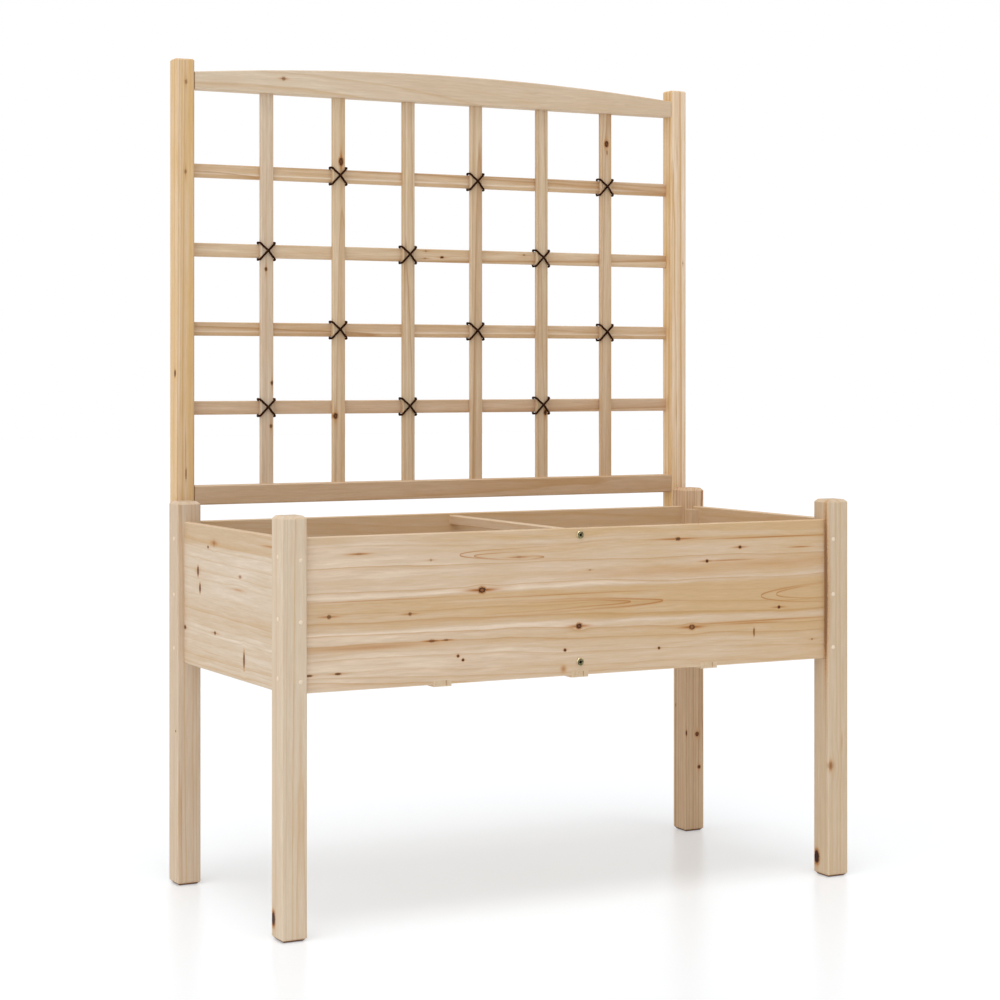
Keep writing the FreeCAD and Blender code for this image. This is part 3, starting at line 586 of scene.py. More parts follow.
@dataclass(frozen=True)
class Timber:
    """The look of one board of pale softwood.

    Pale and warm are its two wood colours and line that of its growth lines. Warmth is how much of
    the warm one shows, and drift how much more there is at its far end. The rings are a pitch apart
    and lie about a pith that is depth under the board's face and side off its middle, in mm, and
    leans along it. Waver is how far the grain strays, in mm, and lines and fibre how strongly the
    growth lines and the fibres show. Bands give the warmth across its width, from 0 to 1, within the
    band range of its lowest and its whole.
    """

    grain: Grain
    pale: Colour = (0.640, 0.500, 0.362)
    warm: Colour = (0.590, 0.420, 0.252)
    line: Colour = (0.500, 0.280, 0.095)
    warmth: float = 0.3
    drift: float = 0.0
    pitch: float = 5.0
    depth: float = 60.0
    side: float = 0.0
    lean: float = 0.02
    waver: float = 4.0
    lines: float = 0.4
    fibre: float = 0.22
    seed: float = 0.0
    knots: tuple[Knot, ...] = ()
    flames: tuple[Flame, ...] = ()
    bands: Bands = ()
    band_range: tuple[float, float] = (-0.5, 2.0)
    check_depth: float = 9.0
    sap_lift: float = 0.12
    flame_stain: float = 0.6
    gloss: float = 0.15

    def turn(self) -> Matrix:
        """Gives the turn that lays the board flat."""
        return Matrix(self.grain.value)

    def marks(self, graph: Graph, board: Socket, centre: Vector) -> tuple[object, object, object]:
        """Draws the board's knots and its lines of painted shade.

        Args:
            graph: The material's graph.
            board: The board's coordinates.
            centre: The board's middle in the frame.

        Returns:
            The push, stain and dark values, as sockets or zero.
        """
        push, stain, dark = 0.0, 0.0, 0.0
        for knot in self.knots:
            place = self.turn() @ (Vector(knot.place) - centre)
            sizes = (*knot.size, self.check_depth)
            scale = [0.0 if choice is None else 1.0 / (sizes[choice] * MM) for choice in knot.branch.value]
            node = graph.place(
                KNOT,
                {
                    "Vector": board,
                    "Centre": place,
                    "Scale": scale,
                    "Length": knot.length,
                    "Core": knot.core,
                    "Heart": knot.heart,
                    "Streak": knot.streak,
                    "Push": knot.push,
                },
            )
            push = graph.plus(node.outputs["Push"], push)
            stain = graph.math("MAXIMUM", node.outputs["Stain"], stain)
            dark = graph.math("MAXIMUM", node.outputs["Dark"], dark)
        return push, stain, dark

    def warmth_over(self, graph: Graph, board: Socket, wavering: Socket, half: Vector) -> object:
        """Works out how warm the wood is over the board.

        Args:
            graph: The material's graph.
            board: The board's coordinates.
            wavering: The same with the grain's waver.
            half: Half of the board's sizes.

        Returns:
            The warmth, as a socket or a number.
        """
        warmth: object = self.warmth
        if self.bands:
            share = graph.plus(graph.math("DIVIDE", graph.split(wavering)[1], 2 * half.y), 0.5)
            lowest, whole = self.band_range
            stops = [(place, (amount - lowest) / whole) for place, amount in self.bands]
            warmth = graph.plus(graph.times(graph.ramp(share, stops), whole), lowest)
        if self.drift:
            warmth = graph.plus(graph.times(graph.split(board)[0], self.drift / (2 * half.x)), warmth)
        return warmth

    def material(self, name: str) -> Material:
        """Makes the board's material.

        Args:
            name: The frame node that it is for.

        Returns:
            The material.
        """
        low, high = (Vector(corner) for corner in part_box(name))
        centre = (low + high) / 2
        turn = self.turn()
        half = Vector([abs(amount) for amount in turn @ ((high - low) / 2)])
        material, graph, shader = new_material("timber_" + name)
        coordinates = graph.add("TexCoord")
        laid = graph.add("Mapping")
        graph.feed(laid.inputs["Vector"], coordinates.outputs["Object"])
        laid.inputs["Rotation"].default_value = turn.to_euler("XYZ")
        laid.inputs["Location"].default_value = -(turn @ centre)
        board = laid.outputs[0]
        normal = graph.add("Mapping", vector_type="NORMAL")
        graph.feed(normal.inputs["Vector"], coordinates.outputs["Normal"])
        normal.inputs["Rotation"].default_value = turn.to_euler("XYZ")
        push, stain, dark = self.marks(graph, board, centre)
        warp = graph.place(WARP, {"Vector": board, "Seed": self.seed, "Waver": self.waver * MM})
        wavering = warp.outputs["Vector"]
        warmth = self.warmth_over(graph, board, wavering, half)
        for flame in self.flames:
            node = graph.place(
                FLAME,
                {
                    "Vector": wavering,
                    "Tip": turn @ (Vector(flame.tip) - centre),
                    "Way": flame.way,
                    "Spread": flame.spread * MM,
                    "Reach": flame.reach * MM,
                    "Width": flame.width * MM,
                },
            )
            stain = graph.math("MAXIMUM", graph.times(node.outputs["Line"], self.flame_stain), stain)
            warmth = graph.plus(graph.times(node.outputs["Inside"], flame.inside), warmth)
        wood = graph.place(
            TIMBER,
            {
                "Vector": wavering,
                "Plain Vector": board,
                "Normal": normal.outputs[0],
                "Slow": warp.outputs["Slow"],
                "Seed": self.seed,
                "Pitch": self.pitch * MM,
                "Depth": self.depth * MM,
                "Side": self.side * MM,
                "Lean": self.lean,
                "Push": push,
                "Warmth": warmth,
                "Lines": self.lines,
                "Fibre": self.fibre,
                "Stain": stain,
                "Dark": dark,
                "Half": half,
                "Pale": self.pale,
                "Sap": tuple(amount + self.sap_lift for amount in self.pale),
                "Warm": self.warm,
                "Line": self.line,
            },
        )
        graph.feed(shader.inputs["Base Color"], wood.outputs["Color"])
        graph.feed(shader.inputs["Roughness"], wood.outputs["Roughness"])
        graph.relief(shader, wood.outputs["Height"], 0.25, 0.4)
        shader.inputs["Specular IOR Level"].default_value = self.gloss
        return material


@dataclass(frozen=True)
class CordFinish:
    """The look of a tie: dark brown laid cord, matt and a little fuzzy."""

    name: str = "tie_cord"
    deep: Colour = (0.020, 0.006, 0.002)
    light: Colour = (0.098, 0.032, 0.010)
    gloss: float = 0.03

    def material(self) -> Material:
        """Makes the cord's material.

        Returns:
            The material.
        """
        material, graph, shader = new_material(self.name)
        coordinates = graph.add("TexCoord").outputs["Object"]
        fuzz = graph.noise(coordinates, 2600.0, 2.0, 0.6)
        drift = graph.noise(coordinates, 90.0, 2.0)
        graph.feed(shader.inputs["Base Color"], graph.mix(graph.times(fuzz, drift), self.deep, self.light))
        graph.feed(shader.inputs["Roughness"], graph.remap(fuzz, 0.2, 0.8, 0.75, 0.95))
        shader.inputs["Specular IOR Level"].default_value = self.gloss
        graph.relief(shader, fuzz, 0.5, 0.2)
        return material


@dataclass(frozen=True)
class MetalFinish:
    """The look of plated steel: its clean colour, the darker film on it and its roughness."""

    name: str
    clean: Colour
    film: Colour
    rough: float = 0.32

    def material(self) -> Material:
        """Makes the metal's material.

        Returns:
            The material.
        """
        material, graph, shader = new_material(self.name)
        coordinates = graph.add("TexCoord").outputs["Object"]
        cloud = graph.remap(graph.noise(coordinates, 260.0, 3.0, 0.6), 0.35, 0.65)
        grit = graph.noise(coordinates, 3200.0, 2.0, 0.6)
        rough = graph.remap(grit, 0.2, 0.8, self.rough - 0.06, self.rough + 0.12)
        graph.feed(shader.inputs["Base Color"], graph.mix(cloud, self.clean, self.film))
        graph.feed(shader.inputs["Roughness"], rough)
        shader.inputs["Metallic"].default_value = 1.0
        graph.relief(shader, grit, 0.15, 0.1)
        return material


@dataclass(frozen=True)
class ButtonFinish:
    """The look of a wooden button: close pale end grain, a little lighter than the legs."""

    name: str = "button_wood"
    pale: Colour = (0.800, 0.665, 0.510)
    deep: Colour = (0.710, 0.570, 0.415)

    def material(self) -> Material:
        """Makes the buttons' material.

        Returns:
            The material.
        """
        material, graph, shader = new_material(self.name)
        coordinates = graph.add("TexCoord").outputs["Object"]
        pores = graph.noise(coordinates, 1800.0, 3.0, 0.7)
        drift = graph.noise(coordinates, 60.0, 2.0)
        share = graph.remap(graph.plus(graph.times(pores, 0.6), graph.times(drift, 0.4)), 0.35, 0.65)
        graph.feed(shader.inputs["Base Color"], graph.mix(share, self.pale, self.deep))
        graph.feed(shader.inputs["Roughness"], graph.remap(pores, 0.2, 0.8, 0.48, 0.62))
        graph.relief(shader, pores, 0.2, 0.1)
        return material


# --------------------------------------------------------------------------------------------------
# Modelling by hand
# --------------------------------------------------------------------------------------------------


def start_edit() -> None:
    """Opens the active piece for editing."""
    if bpy.context.object.mode != "EDIT":
        bpy.ops.object.mode_set(mode="EDIT")


def pick(mode: str, test: Callable[[object], bool]) -> None:
    """Selects what passes a test, and nothing else.

    Args:
        mode: VERT, EDGE or FACE.
        test: Takes one element and says whether it is picked.
    """
    start_edit()
    bpy.ops.mesh.select_mode(type=mode)
    bpy.ops.mesh.select_all(action="DESELECT")
    mesh = bmesh.from_edit_mesh(bpy.context.object.data)
    for item in {"VERT": mesh.verts, "EDGE": mesh.edges, "FACE": mesh.faces}[mode]:
        if test(item):
            item.select_set(True)
    mesh.select_flush_mode()
    bmesh.update_edit_mesh(bpy.context.object.data)


def pick_top() -> None:
    """Selects the faces that look up."""
    pick("FACE", lambda face: face.normal.z > 0.9)


def rim_at(height: float) -> Callable[[object], bool]:
    """Makes a test for the open edges that lie level at a height, in metres."""
    return lambda edge: len(edge.link_faces) < 2 and all(abs(v.co.z - height) < NEAR for v in edge.verts)


def start_cylinder(sides: int, radius: float, tall: float, top: float) -> None:
    """Adds an upright cylinder as the piece to shape.

    Args:
        sides: How many sides it has.
        radius: Its radius, in mm.
        tall: Its height, in mm.
        top: The height of its upper face, in mm.
    """
    bpy.ops.object.select_all(action="DESELECT")
    place = (0, 0, (top - tall / 2) * MM)
    bpy.ops.mesh.primitive_cylinder_add(vertices=sides, radius=radius * MM, depth=tall * MM, location=place)
    bpy.ops.object.transform_apply(location=True)


def lift(height: float) -> None:
    """Moves what is selected up, in mm."""
    bpy.ops.transform.translate(value=(0, 0, height * MM))


def drop_by(height: float) -> dict[str, Point]:
    """Gives an extrusion's settings for a move down, in mm."""
    return {"value": (0, 0, -height * MM)}


def finish_piece(name: str, angle: float = 35.0) -> Piece:
    """Closes the edit, cleans the mesh, smooths it and applies its place.

    Args:
        name: The piece's name.
        angle: Edges sharper than this stay sharp, in degrees.

    Returns:
        The piece.
    """
    bpy.ops.object.mode_set(mode="EDIT")
    bpy.ops.mesh.select_all(action="SELECT")
    bpy.ops.mesh.remove_doubles(threshold=1e-6)
    bpy.ops.mesh.normals_make_consistent(inside=False)
    bpy.ops.object.mode_set(mode="OBJECT")
    piece = bpy.context.object
    piece.name = name
    bpy.ops.object.transform_apply(location=True, rotation=True, scale=True)
    bpy.ops.object.shade_smooth_by_angle(angle=math.radians(angle))
    return piece


def copied(model: Piece, name: str, place: Matrix) -> Piece:
    """Copies a piece with a mesh of its own.

    Args:
        model: The piece.
        name: The copy's name.
        place: Where the copy goes, taken from the origin.

    Returns:
        The copy, with its place in its mesh.
    """
    piece = model.copy()
    piece.data = model.data.copy()
    piece.name = name
    bpy.context.scene.collection.objects.link(piece)
    piece.data.transform(place)
    return piece


def joined(pieces: list[Piece], name: str) -> Piece:
    """Joins pieces into one.

    Args:
        pieces: The pieces.
        name: The joined piece's name.

    Returns:
        The joined piece.
    """
    bpy.ops.object.select_all(action="DESELECT")
    for piece in pieces:
        piece.select_set(True)
    bpy.context.view_layer.objects.active = pieces[0]
    bpy.ops.object.join()
    pieces[0].name = name
    return pieces[0]


def seat(place: Point, outwards: Point) -> Matrix:
    """Gives the place of a part that is modelled with its head up, set into a face.

    Args:
        place: The middle of its head's seat, in mm.
        outwards: The way in which the head looks.

    Returns:
        The matrix.
    """
    turn = Vector((0, 0, 1)).rotation_difference(Vector(outwards)).to_matrix().to_4x4()
    return Matrix.Translation(Vector(place) * MM) @ turn


def side_of(node: str, corner: int, axis: int) -> float:
    """Gives where one side of a frame node lies.

    Args:
        node: The node.
        corner: LOW or HIGH.
        axis: X, Y or Z.

    Returns:
        Its place, in mm.
    """
    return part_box(node)[corner][axis] / MM


def middle_of(node: str, axis: int) -> float:
    """Gives a frame node's middle along an axis, in mm."""
    return (side_of(node, LOW, axis) + side_of(node, HIGH, axis)) / 2


def settle(piece: Piece, material: Material, slot: str, *nodes: str) -> None:
    """Gives a piece its material, its body and the nodes that it stands for.

    Args:
        piece: The piece.
        material: Its material.
        slot: Not used.
        nodes: The frame nodes that it replaces.
    """
    piece.data.materials.clear()
    piece.data.materials.append(material)
    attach(piece, BODY)
    if nodes:
        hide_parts(*nodes)
    log.info("piece %s: %d faces", piece.name, len(piece.data.polygons))


# --------------------------------------------------------------------------------------------------
# Sub-assemblies
# --------------------------------------------------------------------------------------------------


@dataclass
class Boards:
    """A family of boards that keep their mesh: each node's own timber."""

    title: str
    looks: dict[str, Timber] = field(default_factory=dict)

    def dress(self) -> None:
        """Gives each node its own material."""
        for name, timber in self.looks.items():
            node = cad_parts[name]
            material = timber.material(name)
            if not node.material_slots:
                node.data.materials.append(material)
            for place in node.material_slots:
                place.material = material
        log.info("%s: %d boards dressed", self.title, len(self.looks))


@dataclass
class Lashings:
    """The twelve cord ties of the lattice, each a laid cord crossed over a crossing.

    Strand is the radius of a strand, lay its distance from the cord's middle and twist the length of
    a whole turn of it. The route runs about the crossing's middle, where the laths meet. Its two
    ends are bound behind the level lath by a whipping of finer cord.
    """

    columns: tuple[float, ...] = tuple(middle_of(f"lath_upright_{column}", X) for column in range(1, 7))
    rows: tuple[float, ...] = tuple(middle_of(f"lath_level_{row}", Z) for row in range(1, 5))
    meeting: float = side_of("lath_level_1", LOW, Y)
    strands: int = 3
    strand: float = 1.24
    lay: float = 1.16
    twist: float = 13.0
    sides: int = 8
    whip_strand: float = 1.0
    whip_start: Point = (-11.4, 12.2, 4.6)
    whip_radii: tuple[float, float] = (2.0, 1.65)
    whip_rise: float = 7.2
    whip_steps: int = 28
    steps_a_turn: int = 8
    route: tuple[Point, ...] = (
        (-11.4, 12.2, 13.0), (-12.2, 9.0, 16.6), (-15.8, 3.0, 17.0), (-16.0, -6.0, 16.8),
        (-15.8, -12.9, 16.0), (-9.0, -12.9, 9.6), (-3.0, -17.2, 3.4), (3.0, -17.2, -3.2),
        (8.5, -13.2, -8.6), (13.6, -12.6, -13.4), (16.0, -12.2, -17.2), (16.1, -4.0, -17.4),
        (15.9, 3.0, -17.0), (12.6, 9.0, -16.6), (11.4, 12.3, -13.0), (11.4, 12.3, 13.0),
        (12.6, 9.0, 16.6), (15.9, 3.0, 17.0), (16.1, -4.0, 17.0), (16.0, -12.2, 16.6),
        (13.6, -12.6, 13.0), (8.5, -12.5, 8.3), (-9.0, -12.5, -9.4), (-15.8, -12.9, -16.0),
        (-16.0, -6.0, -16.8), (-15.8, 3.0, -17.0), (-12.2, 9.0, -16.6), (-11.4, 12.3, -13.0),
        (-11.4, 12.3, 4.0), (-11.4, 12.2, 12.0),
    )
    finish: CordFinish = CordFinish()

    def line(self, points: tuple[Point, ...], name: str) -> list[Vector]:
        """Reads the points of a smooth line.

        Args:
            points: The line's control points, in mm.
            name: The curve's name.

        Returns:
            Points along it, in mm.
        """
        curve = bpy.data.curves.new(name, "CURVE")
        curve.dimensions = "3D"
        curve.resolution_u = 10
        spline = curve.splines.new("NURBS")
        spline.points.add(len(points) - 1)
        for point, place in zip(spline.points, points):
            point.co = (*place, 1.0)
        spline.use_endpoint_u = True
        spline.order_u = 3
        holder = bpy.data.objects.new(name, curve)
        bpy.context.scene.collection.objects.link(holder)
        mesh = bpy.data.meshes.new_from_object(holder)
        along = [vertex.co.copy() for vertex in mesh.vertices]
        bpy.data.objects.remove(holder)
        bpy.data.meshes.remove(mesh)
        return along

    def cord(
        self, along: list[Vector], strands: int, radius: float, offset: float, mesh: bmesh.types.BMesh
    ) -> None:
        """Lays strands round a line.

        Args:
            along: The line's points, in mm.
            strands: How many strands it has.
            radius: A strand's radius, in mm.
            offset: A strand's distance from the line, in mm.
            mesh: The mesh that takes the strands, in metres.
        """
        frames: list[tuple[Vector, Vector, Vector, float]] = []
        across = (along[1] - along[0]).orthogonal().normalized()
        travelled = 0.0
        for index, point in enumerate(along):
            ahead = along[min(index + 1, len(along) - 1)]
            behind = along[max(index - 1, 0)]
            tangent = (ahead - behind).normalized()
            across = (across - tangent * across.dot(tangent)).normalized()
            if index:
                travelled += (point - along[index - 1]).length
            frames.append((point, across, tangent.cross(across), travelled))
        for number in range(strands):
            rings = []
            for point, first, second, distance in frames:
                turn = 2 * math.pi * (distance / self.twist + number / strands)
                out = first * math.cos(turn) + second * math.sin(turn)
                heart = point + out * offset
                ring = []
                for side in range(self.sides):
                    angle = turn + 2 * math.pi * side / self.sides
                    way = first * math.cos(angle) + second * math.sin(angle)
                    ring.append(mesh.verts.new((heart + way * radius) * MM))
                rings.append(ring)
            for one, two in zip(rings, rings[1:]):
                for side in range(self.sides):
                    after = (side + 1) % self.sides
                    mesh.faces.new((one[side], one[after], two[after], two[side]))
            mesh.faces.new(list(reversed(rings[0])))
            mesh.faces.new(rings[-1])

    def whipping(self) -> tuple[Point, ...]:
        """Lays out the turns that bind the cord's ends.

        Returns:
            The points of their line, in mm.
        """
        x, y, z = self.whip_start
        wide, deep = self.whip_radii
        points = []
        for step in range(self.whip_steps + 1):
            angle = 2 * math.pi * step / self.steps_a_turn
            height = z + self.whip_rise * step / self.whip_steps
            points.append((x + wide * math.cos(angle), y + deep * math.sin(angle), height))
        return tuple(points)

    def model(self) -> Piece:
        """Models one tie about its own crossing.

        Returns:
            The tie, in metres.
        """
        mesh = bmesh.new()
        self.cord(self.line(self.route, "tie_line"), self.strands, self.strand, self.lay, mesh)
        self.cord(self.line(self.whipping(), "whipping_line"), 1, self.whip_strand, 0.0, mesh)
        data = bpy.data.meshes.new("tie_model")
        mesh.to_mesh(data)
        mesh.free()
        tie = bpy.data.objects.new("tie_model", data)
        bpy.context.scene.collection.objects.link(tie)
        bpy.ops.object.select_all(action="DESELECT")
        bpy.context.view_layer.objects.active = tie
        tie.select_set(True)
        return finish_piece("tie_model", 60)

    def build(self) -> None:
        """Models one tie and sets it on every other crossing."""
        material = self.finish.material()
        model = self.model()
        for row, level in enumerate(self.rows):
            for count, column in enumerate(range(1 - row % 2, len(self.columns), 2)):
                place = Vector((self.columns[column], self.meeting, level)) * MM
                tie = copied(model, f"tie_{row + 1}_{count + 1}", Matrix.Translation(place))
                settle(tie, material, "tie_cord", f"ties_row_{row + 1}")
        bpy.data.objects.remove(model)


FACE_INSET = 35.5
FACE_LEVELS = (452.0, 556.0, 664.0)


@dataclass
class Buttons:
    """The domed wooden buttons that cover the screw heads of the legs.

    The rim is the share of the crown that stands upright, and the dome has pairs of a step's inset
    and its share of the rest.
    """

    radius: float = 4.0
    crown: float = 1.2
    rim: float = 0.35
    dome: Bands = ((0.55, 0.36), (0.8, 0.26), (1.1, 0.14))
    depth: float = 2.0
    half_width: float = side_of("leg_front_right", HIGH, X)
    front: float = side_of("leg_front_right", LOW, Y)
    side_places: tuple[float, ...] = (middle_of("front_panel", Y), middle_of("back_panel", Y))
    side_levels: tuple[float, ...] = (458.0, 562.0, 670.0)
    finish: ButtonFinish = ButtonFinish()

    def model(self) -> Piece:
        """Models one button with its crown up, its foot in the hole.

        Returns:
            The button.
        """
        edge = self.crown * self.rim
        start_cylinder(24, self.radius, edge + self.depth, edge)
        pick_top()
        whole = sum(rise for _, rise in self.dome)
        for thickness, rise in self.dome:
            bpy.ops.mesh.inset(thickness=thickness * MM, depth=0.0)
            lift((self.crown - edge) * rise / whole)
        bpy.ops.mesh.poke(offset=0.0)
        return finish_piece("button_model", 50)

    def build(self) -> None:
        """Models one button and sets it in each of its holes."""
        material = self.finish.material()
        model = self.model()
        spots: list[tuple[Point, Point]] = []
        for side in (-1, 1):
            for y in self.side_places:
                spots += [((side * self.half_width, y, level), (side, 0, 0)) for level in self.side_levels]
            across = side * (self.half_width - FACE_INSET)
            spots += [((across, self.front, level), (0, -1, 0)) for level in FACE_LEVELS]
        for number, (place, way) in enumerate(spots, 1):
            button = copied(model, f"button_{number:02d}", seat(place, way))
            settle(button, material, "button_wood", "screw_buttons")
        bpy.data.objects.remove(model)


@dataclass
class Bolts:
    """The four round-headed bolts with a hexagon socket that hold the tie bars.

    The crown gives the head's outline: pairs of a share of the radius and one of the height. A
    bright ring of painted highlight starts at one share of the radius, and the painted shade of the
    dark socket ends at another.
    """

    head: float = 7.5
    tall: float = 2.6
    crown: Bands = ((1.0, 0.25), (0.97, 0.62), (0.88, 0.86), (0.74, 1.0))
    socket: float = 5.0
    socket_depth: float = 2.0
    socket_point: float = 0.4
    shank: float = 3.0
    long: float = 48.0
    tip: float = 0.8
    highlight_from: float = 0.82
    socket_shade_to: float = 0.40
    fronts: tuple[float, float] = (side_of("front_panel", LOW, Y), side_of("back_panel", HIGH, Y))
    levels: tuple[float, float] = (middle_of("tie_bar_upper", Z), middle_of("tie_bar_lower", Z))
    finish: MetalFinish = MetalFinish("bolt_steel", (0.26, 0.23, 0.12), (0.07, 0.06, 0.035), 0.3)
    # Painted highlight: the bright ring round the head. Painted shade: the near-black middle round the
    # socket.
    rim: MetalFinish = MetalFinish("bolt_rim_painted_highlight", (0.80, 0.72, 0.46), (0.48, 0.42, 0.25), 0.25)
    socket_shade: MetalFinish = MetalFinish("bolt_socket_painted_shade", (0.030, 0.027, 0.018), (0.012, 0.011, 0.008), 0.5)

    def model(self) -> Piece:
        """Models one bolt with its head up and the head's underside at zero.

        Returns:
            The bolt.
        """
        bpy.ops.object.select_all(action="DESELECT")
        bpy.ops.mesh.primitive_circle_add(vertices=36, radius=self.head * MM, location=(0, 0, 0))
        start_edit()
        bpy.ops.mesh.select_all(action="SELECT")
        for radius, height in self.crown:
            bpy.ops.mesh.extrude_edges_move()
            mesh = bmesh.from_edit_mesh(bpy.context.object.data)
            for vertex in mesh.verts:
                if vertex.select:
                    way = vertex.co.to_2d().normalized() * self.head * radius * MM
                    vertex.co = (way.x, way.y, self.tall * height * MM)
            bmesh.update_edit_mesh(bpy.context.object.data)
        top = self.tall * MM
        corner = self.socket / math.sqrt(3) * MM
        bpy.ops.mesh.primitive_circle_add(vertices=6, radius=corner, location=(0, 0, top))
        pick("EDGE", rim_at(top))
        bpy.ops.mesh.bridge_edge_loops()
        pick("EDGE", rim_at(top))
        bpy.ops.mesh.extrude_edges_move(TRANSFORM_OT_translate=drop_by(self.socket_depth))
        bpy.ops.mesh.edge_face_add()
        bpy.ops.mesh.poke(offset=-self.socket_point * MM)
        pick("EDGE", rim_at(0.0))
        for scale, drop in ((self.shank / self.head, 0.0), (1.0, self.long), (0.7, self.tip)):
            bpy.ops.mesh.extrude_edges_move(TRANSFORM_OT_translate=drop_by(drop))
            bpy.ops.transform.resize(value=(scale, scale, 1.0), center_override=(0, 0, 0))
        bpy.ops.mesh.edge_face_add()
        return finish_piece("bolt_model", 38)

    def build(self) -> None:
        """Models one bolt and sets it at both ends of both tie bars."""
        material, rim, socket_shade = (finish.material() for finish in (self.finish, self.rim, self.socket_shade))
        model = self.model()
        spots = [(face, way, level) for level in self.levels for face, way in zip(self.fronts, (-1, 1))]
        for number, (face, way, level) in enumerate(spots, 1):
            bolt = copied(model, f"bolt_{number}", seat((0, face, level), (0, way, 0)))
            settle(bolt, material, "plated_steel", "tie_bar_bolts")
            bolt.data.materials.append(rim)
            bolt.data.materials.append(socket_shade)
            # Faces of the outer ring are painted as highlight, and those round the socket as shade.
            for polygon in bolt.data.polygons:
                away = Vector((polygon.center.x, polygon.center.z - level * MM)).length
                if away > self.highlight_from * self.head * MM:
                    polygon.material_index = 1
                elif away < self.socket_shade_to * self.head * MM:
                    polygon.material_index = 2
        bpy.data.objects.remove(model)


@dataclass
class Screws:
    """The cross-recessed screws whose heads show: in the legs' faces, and in the back of the posts.

    The head's edge slopes down outside its flat land, and its seat is sunk into the face. The shank
    ends in a tip. The recess is the size of one arm of the cross, narrower at its foot.
    """

    head: float = 3.9
    tall: float = 3.0
    land: float = 0.7
    slope: float = 0.8
    shank: float = 2.0
    tip: float = 6.0
    tip_share: float = 0.12
    recess: Point = (4.2, 1.0, 3.0)
    recess_share: float = 0.5
    sunk: float = 5.0
    half_width: float = side_of("leg_front_right", HIGH, X)
    leg_faces: tuple[float, float] = (side_of("leg_front_left", LOW, Y), side_of("leg_back_left", HIGH, Y))
    post_back: float = side_of("post_left", HIGH, Y)
    trellis_x: float = 571.5
    trellis_levels: tuple[float, ...] = (480.0, 700.0)
    face_long: float = 62.0
    trellis_long: float = 70.0
    finish: MetalFinish = MetalFinish("screw_steel", (0.62, 0.58, 0.46), (0.42, 0.37, 0.24), 0.34)

    def on_rim(self, edge: bmesh.types.BMEdge) -> bool:
        """Tells whether an edge runs round the top of the head."""
        top, rim = self.tall * MM, 0.9 * self.head * MM
        return all(abs(v.co.z - top) < NEAR and v.co.to_2d().length > rim for v in edge.verts)

    def cut_recess(self, screw: Piece, turn: float) -> None:
        """Cuts one arm of the cross into the head.

        Args:
            screw: The screw.
            turn: The arm's turn about the screw.
        """
        top = self.tall * MM
        bpy.ops.object.select_all(action="DESELECT")
        bpy.ops.mesh.primitive_cube_add(
            size=1.0, location=(0, 0, top), rotation=(0, 0, turn), scale=Vector(self.recess) * MM
        )
        bpy.ops.object.transform_apply(location=True, rotation=True, scale=True)
        pick("VERT", lambda vertex: vertex.co.z < top)
        share = self.recess_share
        bpy.ops.transform.resize(value=(share, share, 1.0), center_override=(0, 0, 0))
        bpy.ops.object.mode_set(mode="OBJECT")
        cutter = bpy.context.object
        bpy.ops.object.select_all(action="DESELECT")
        bpy.context.view_layer.objects.active = screw
        screw.select_set(True)
        recess = screw.modifiers.new("recess", "BOOLEAN")
        recess.operation = "DIFFERENCE"
        recess.object = cutter
        recess.solver = "EXACT"
        bpy.ops.object.modifier_apply(modifier="recess")
        bpy.data.objects.remove(cutter)

    def model(self, long: float) -> Piece:
        """Models one screw with its head up and the head's underside at zero.

        Args:
            long: The length under its head, in mm.

        Returns:
            The screw.
        """
        start_cylinder(24, self.head, self.tall, self.tall)
        pick_top()
        bpy.ops.mesh.inset(thickness=self.land * MM, depth=0.0)
        pick("EDGE", self.on_rim)
        lift(-self.slope)
        pick("FACE", lambda face: face.normal.z < -0.9)
        bpy.ops.mesh.inset(thickness=(self.head - self.shank) * MM, depth=0.0)
        bpy.ops.mesh.extrude_region_move(TRANSFORM_OT_translate=drop_by(long - self.tip))
        bpy.ops.mesh.extrude_region_move(TRANSFORM_OT_translate=drop_by(self.tip))
        bpy.ops.transform.resize(value=(self.tip_share, self.tip_share, 1.0))
        screw = finish_piece("screw_model")
        for turn in (0.0, math.pi / 2):
            self.cut_recess(screw, turn)
        return finish_piece("screw_model")

    def build(self) -> None:
        """Models both lengths and sets a screw in each of its holes."""
        material = self.finish.material()
        in_legs, in_posts = [], []
        for side in (-1, 1):
            across = side * (self.half_width - FACE_INSET)
            for level in FACE_LEVELS:
                for face, way in zip(self.leg_faces, (-1, 1)):
                    in_legs.append(seat((across, face - way * self.sunk, level), (0, way, 0)))
            for level in self.trellis_levels:
                in_posts.append(seat((side * self.trellis_x, self.post_back - self.sunk, level), (0, 1, 0)))
        for name, node, long, seats in (
            ("leg_screws", "face_screws", self.face_long, in_legs),
            ("post_screws", "trellis_screws", self.trellis_long, in_posts),
        ):
            model = self.model(long)
            made = [copied(model, name, place) for place in seats]
            settle(joined(made, name), material, "plated_steel", node)
            bpy.data.objects.remove(model)


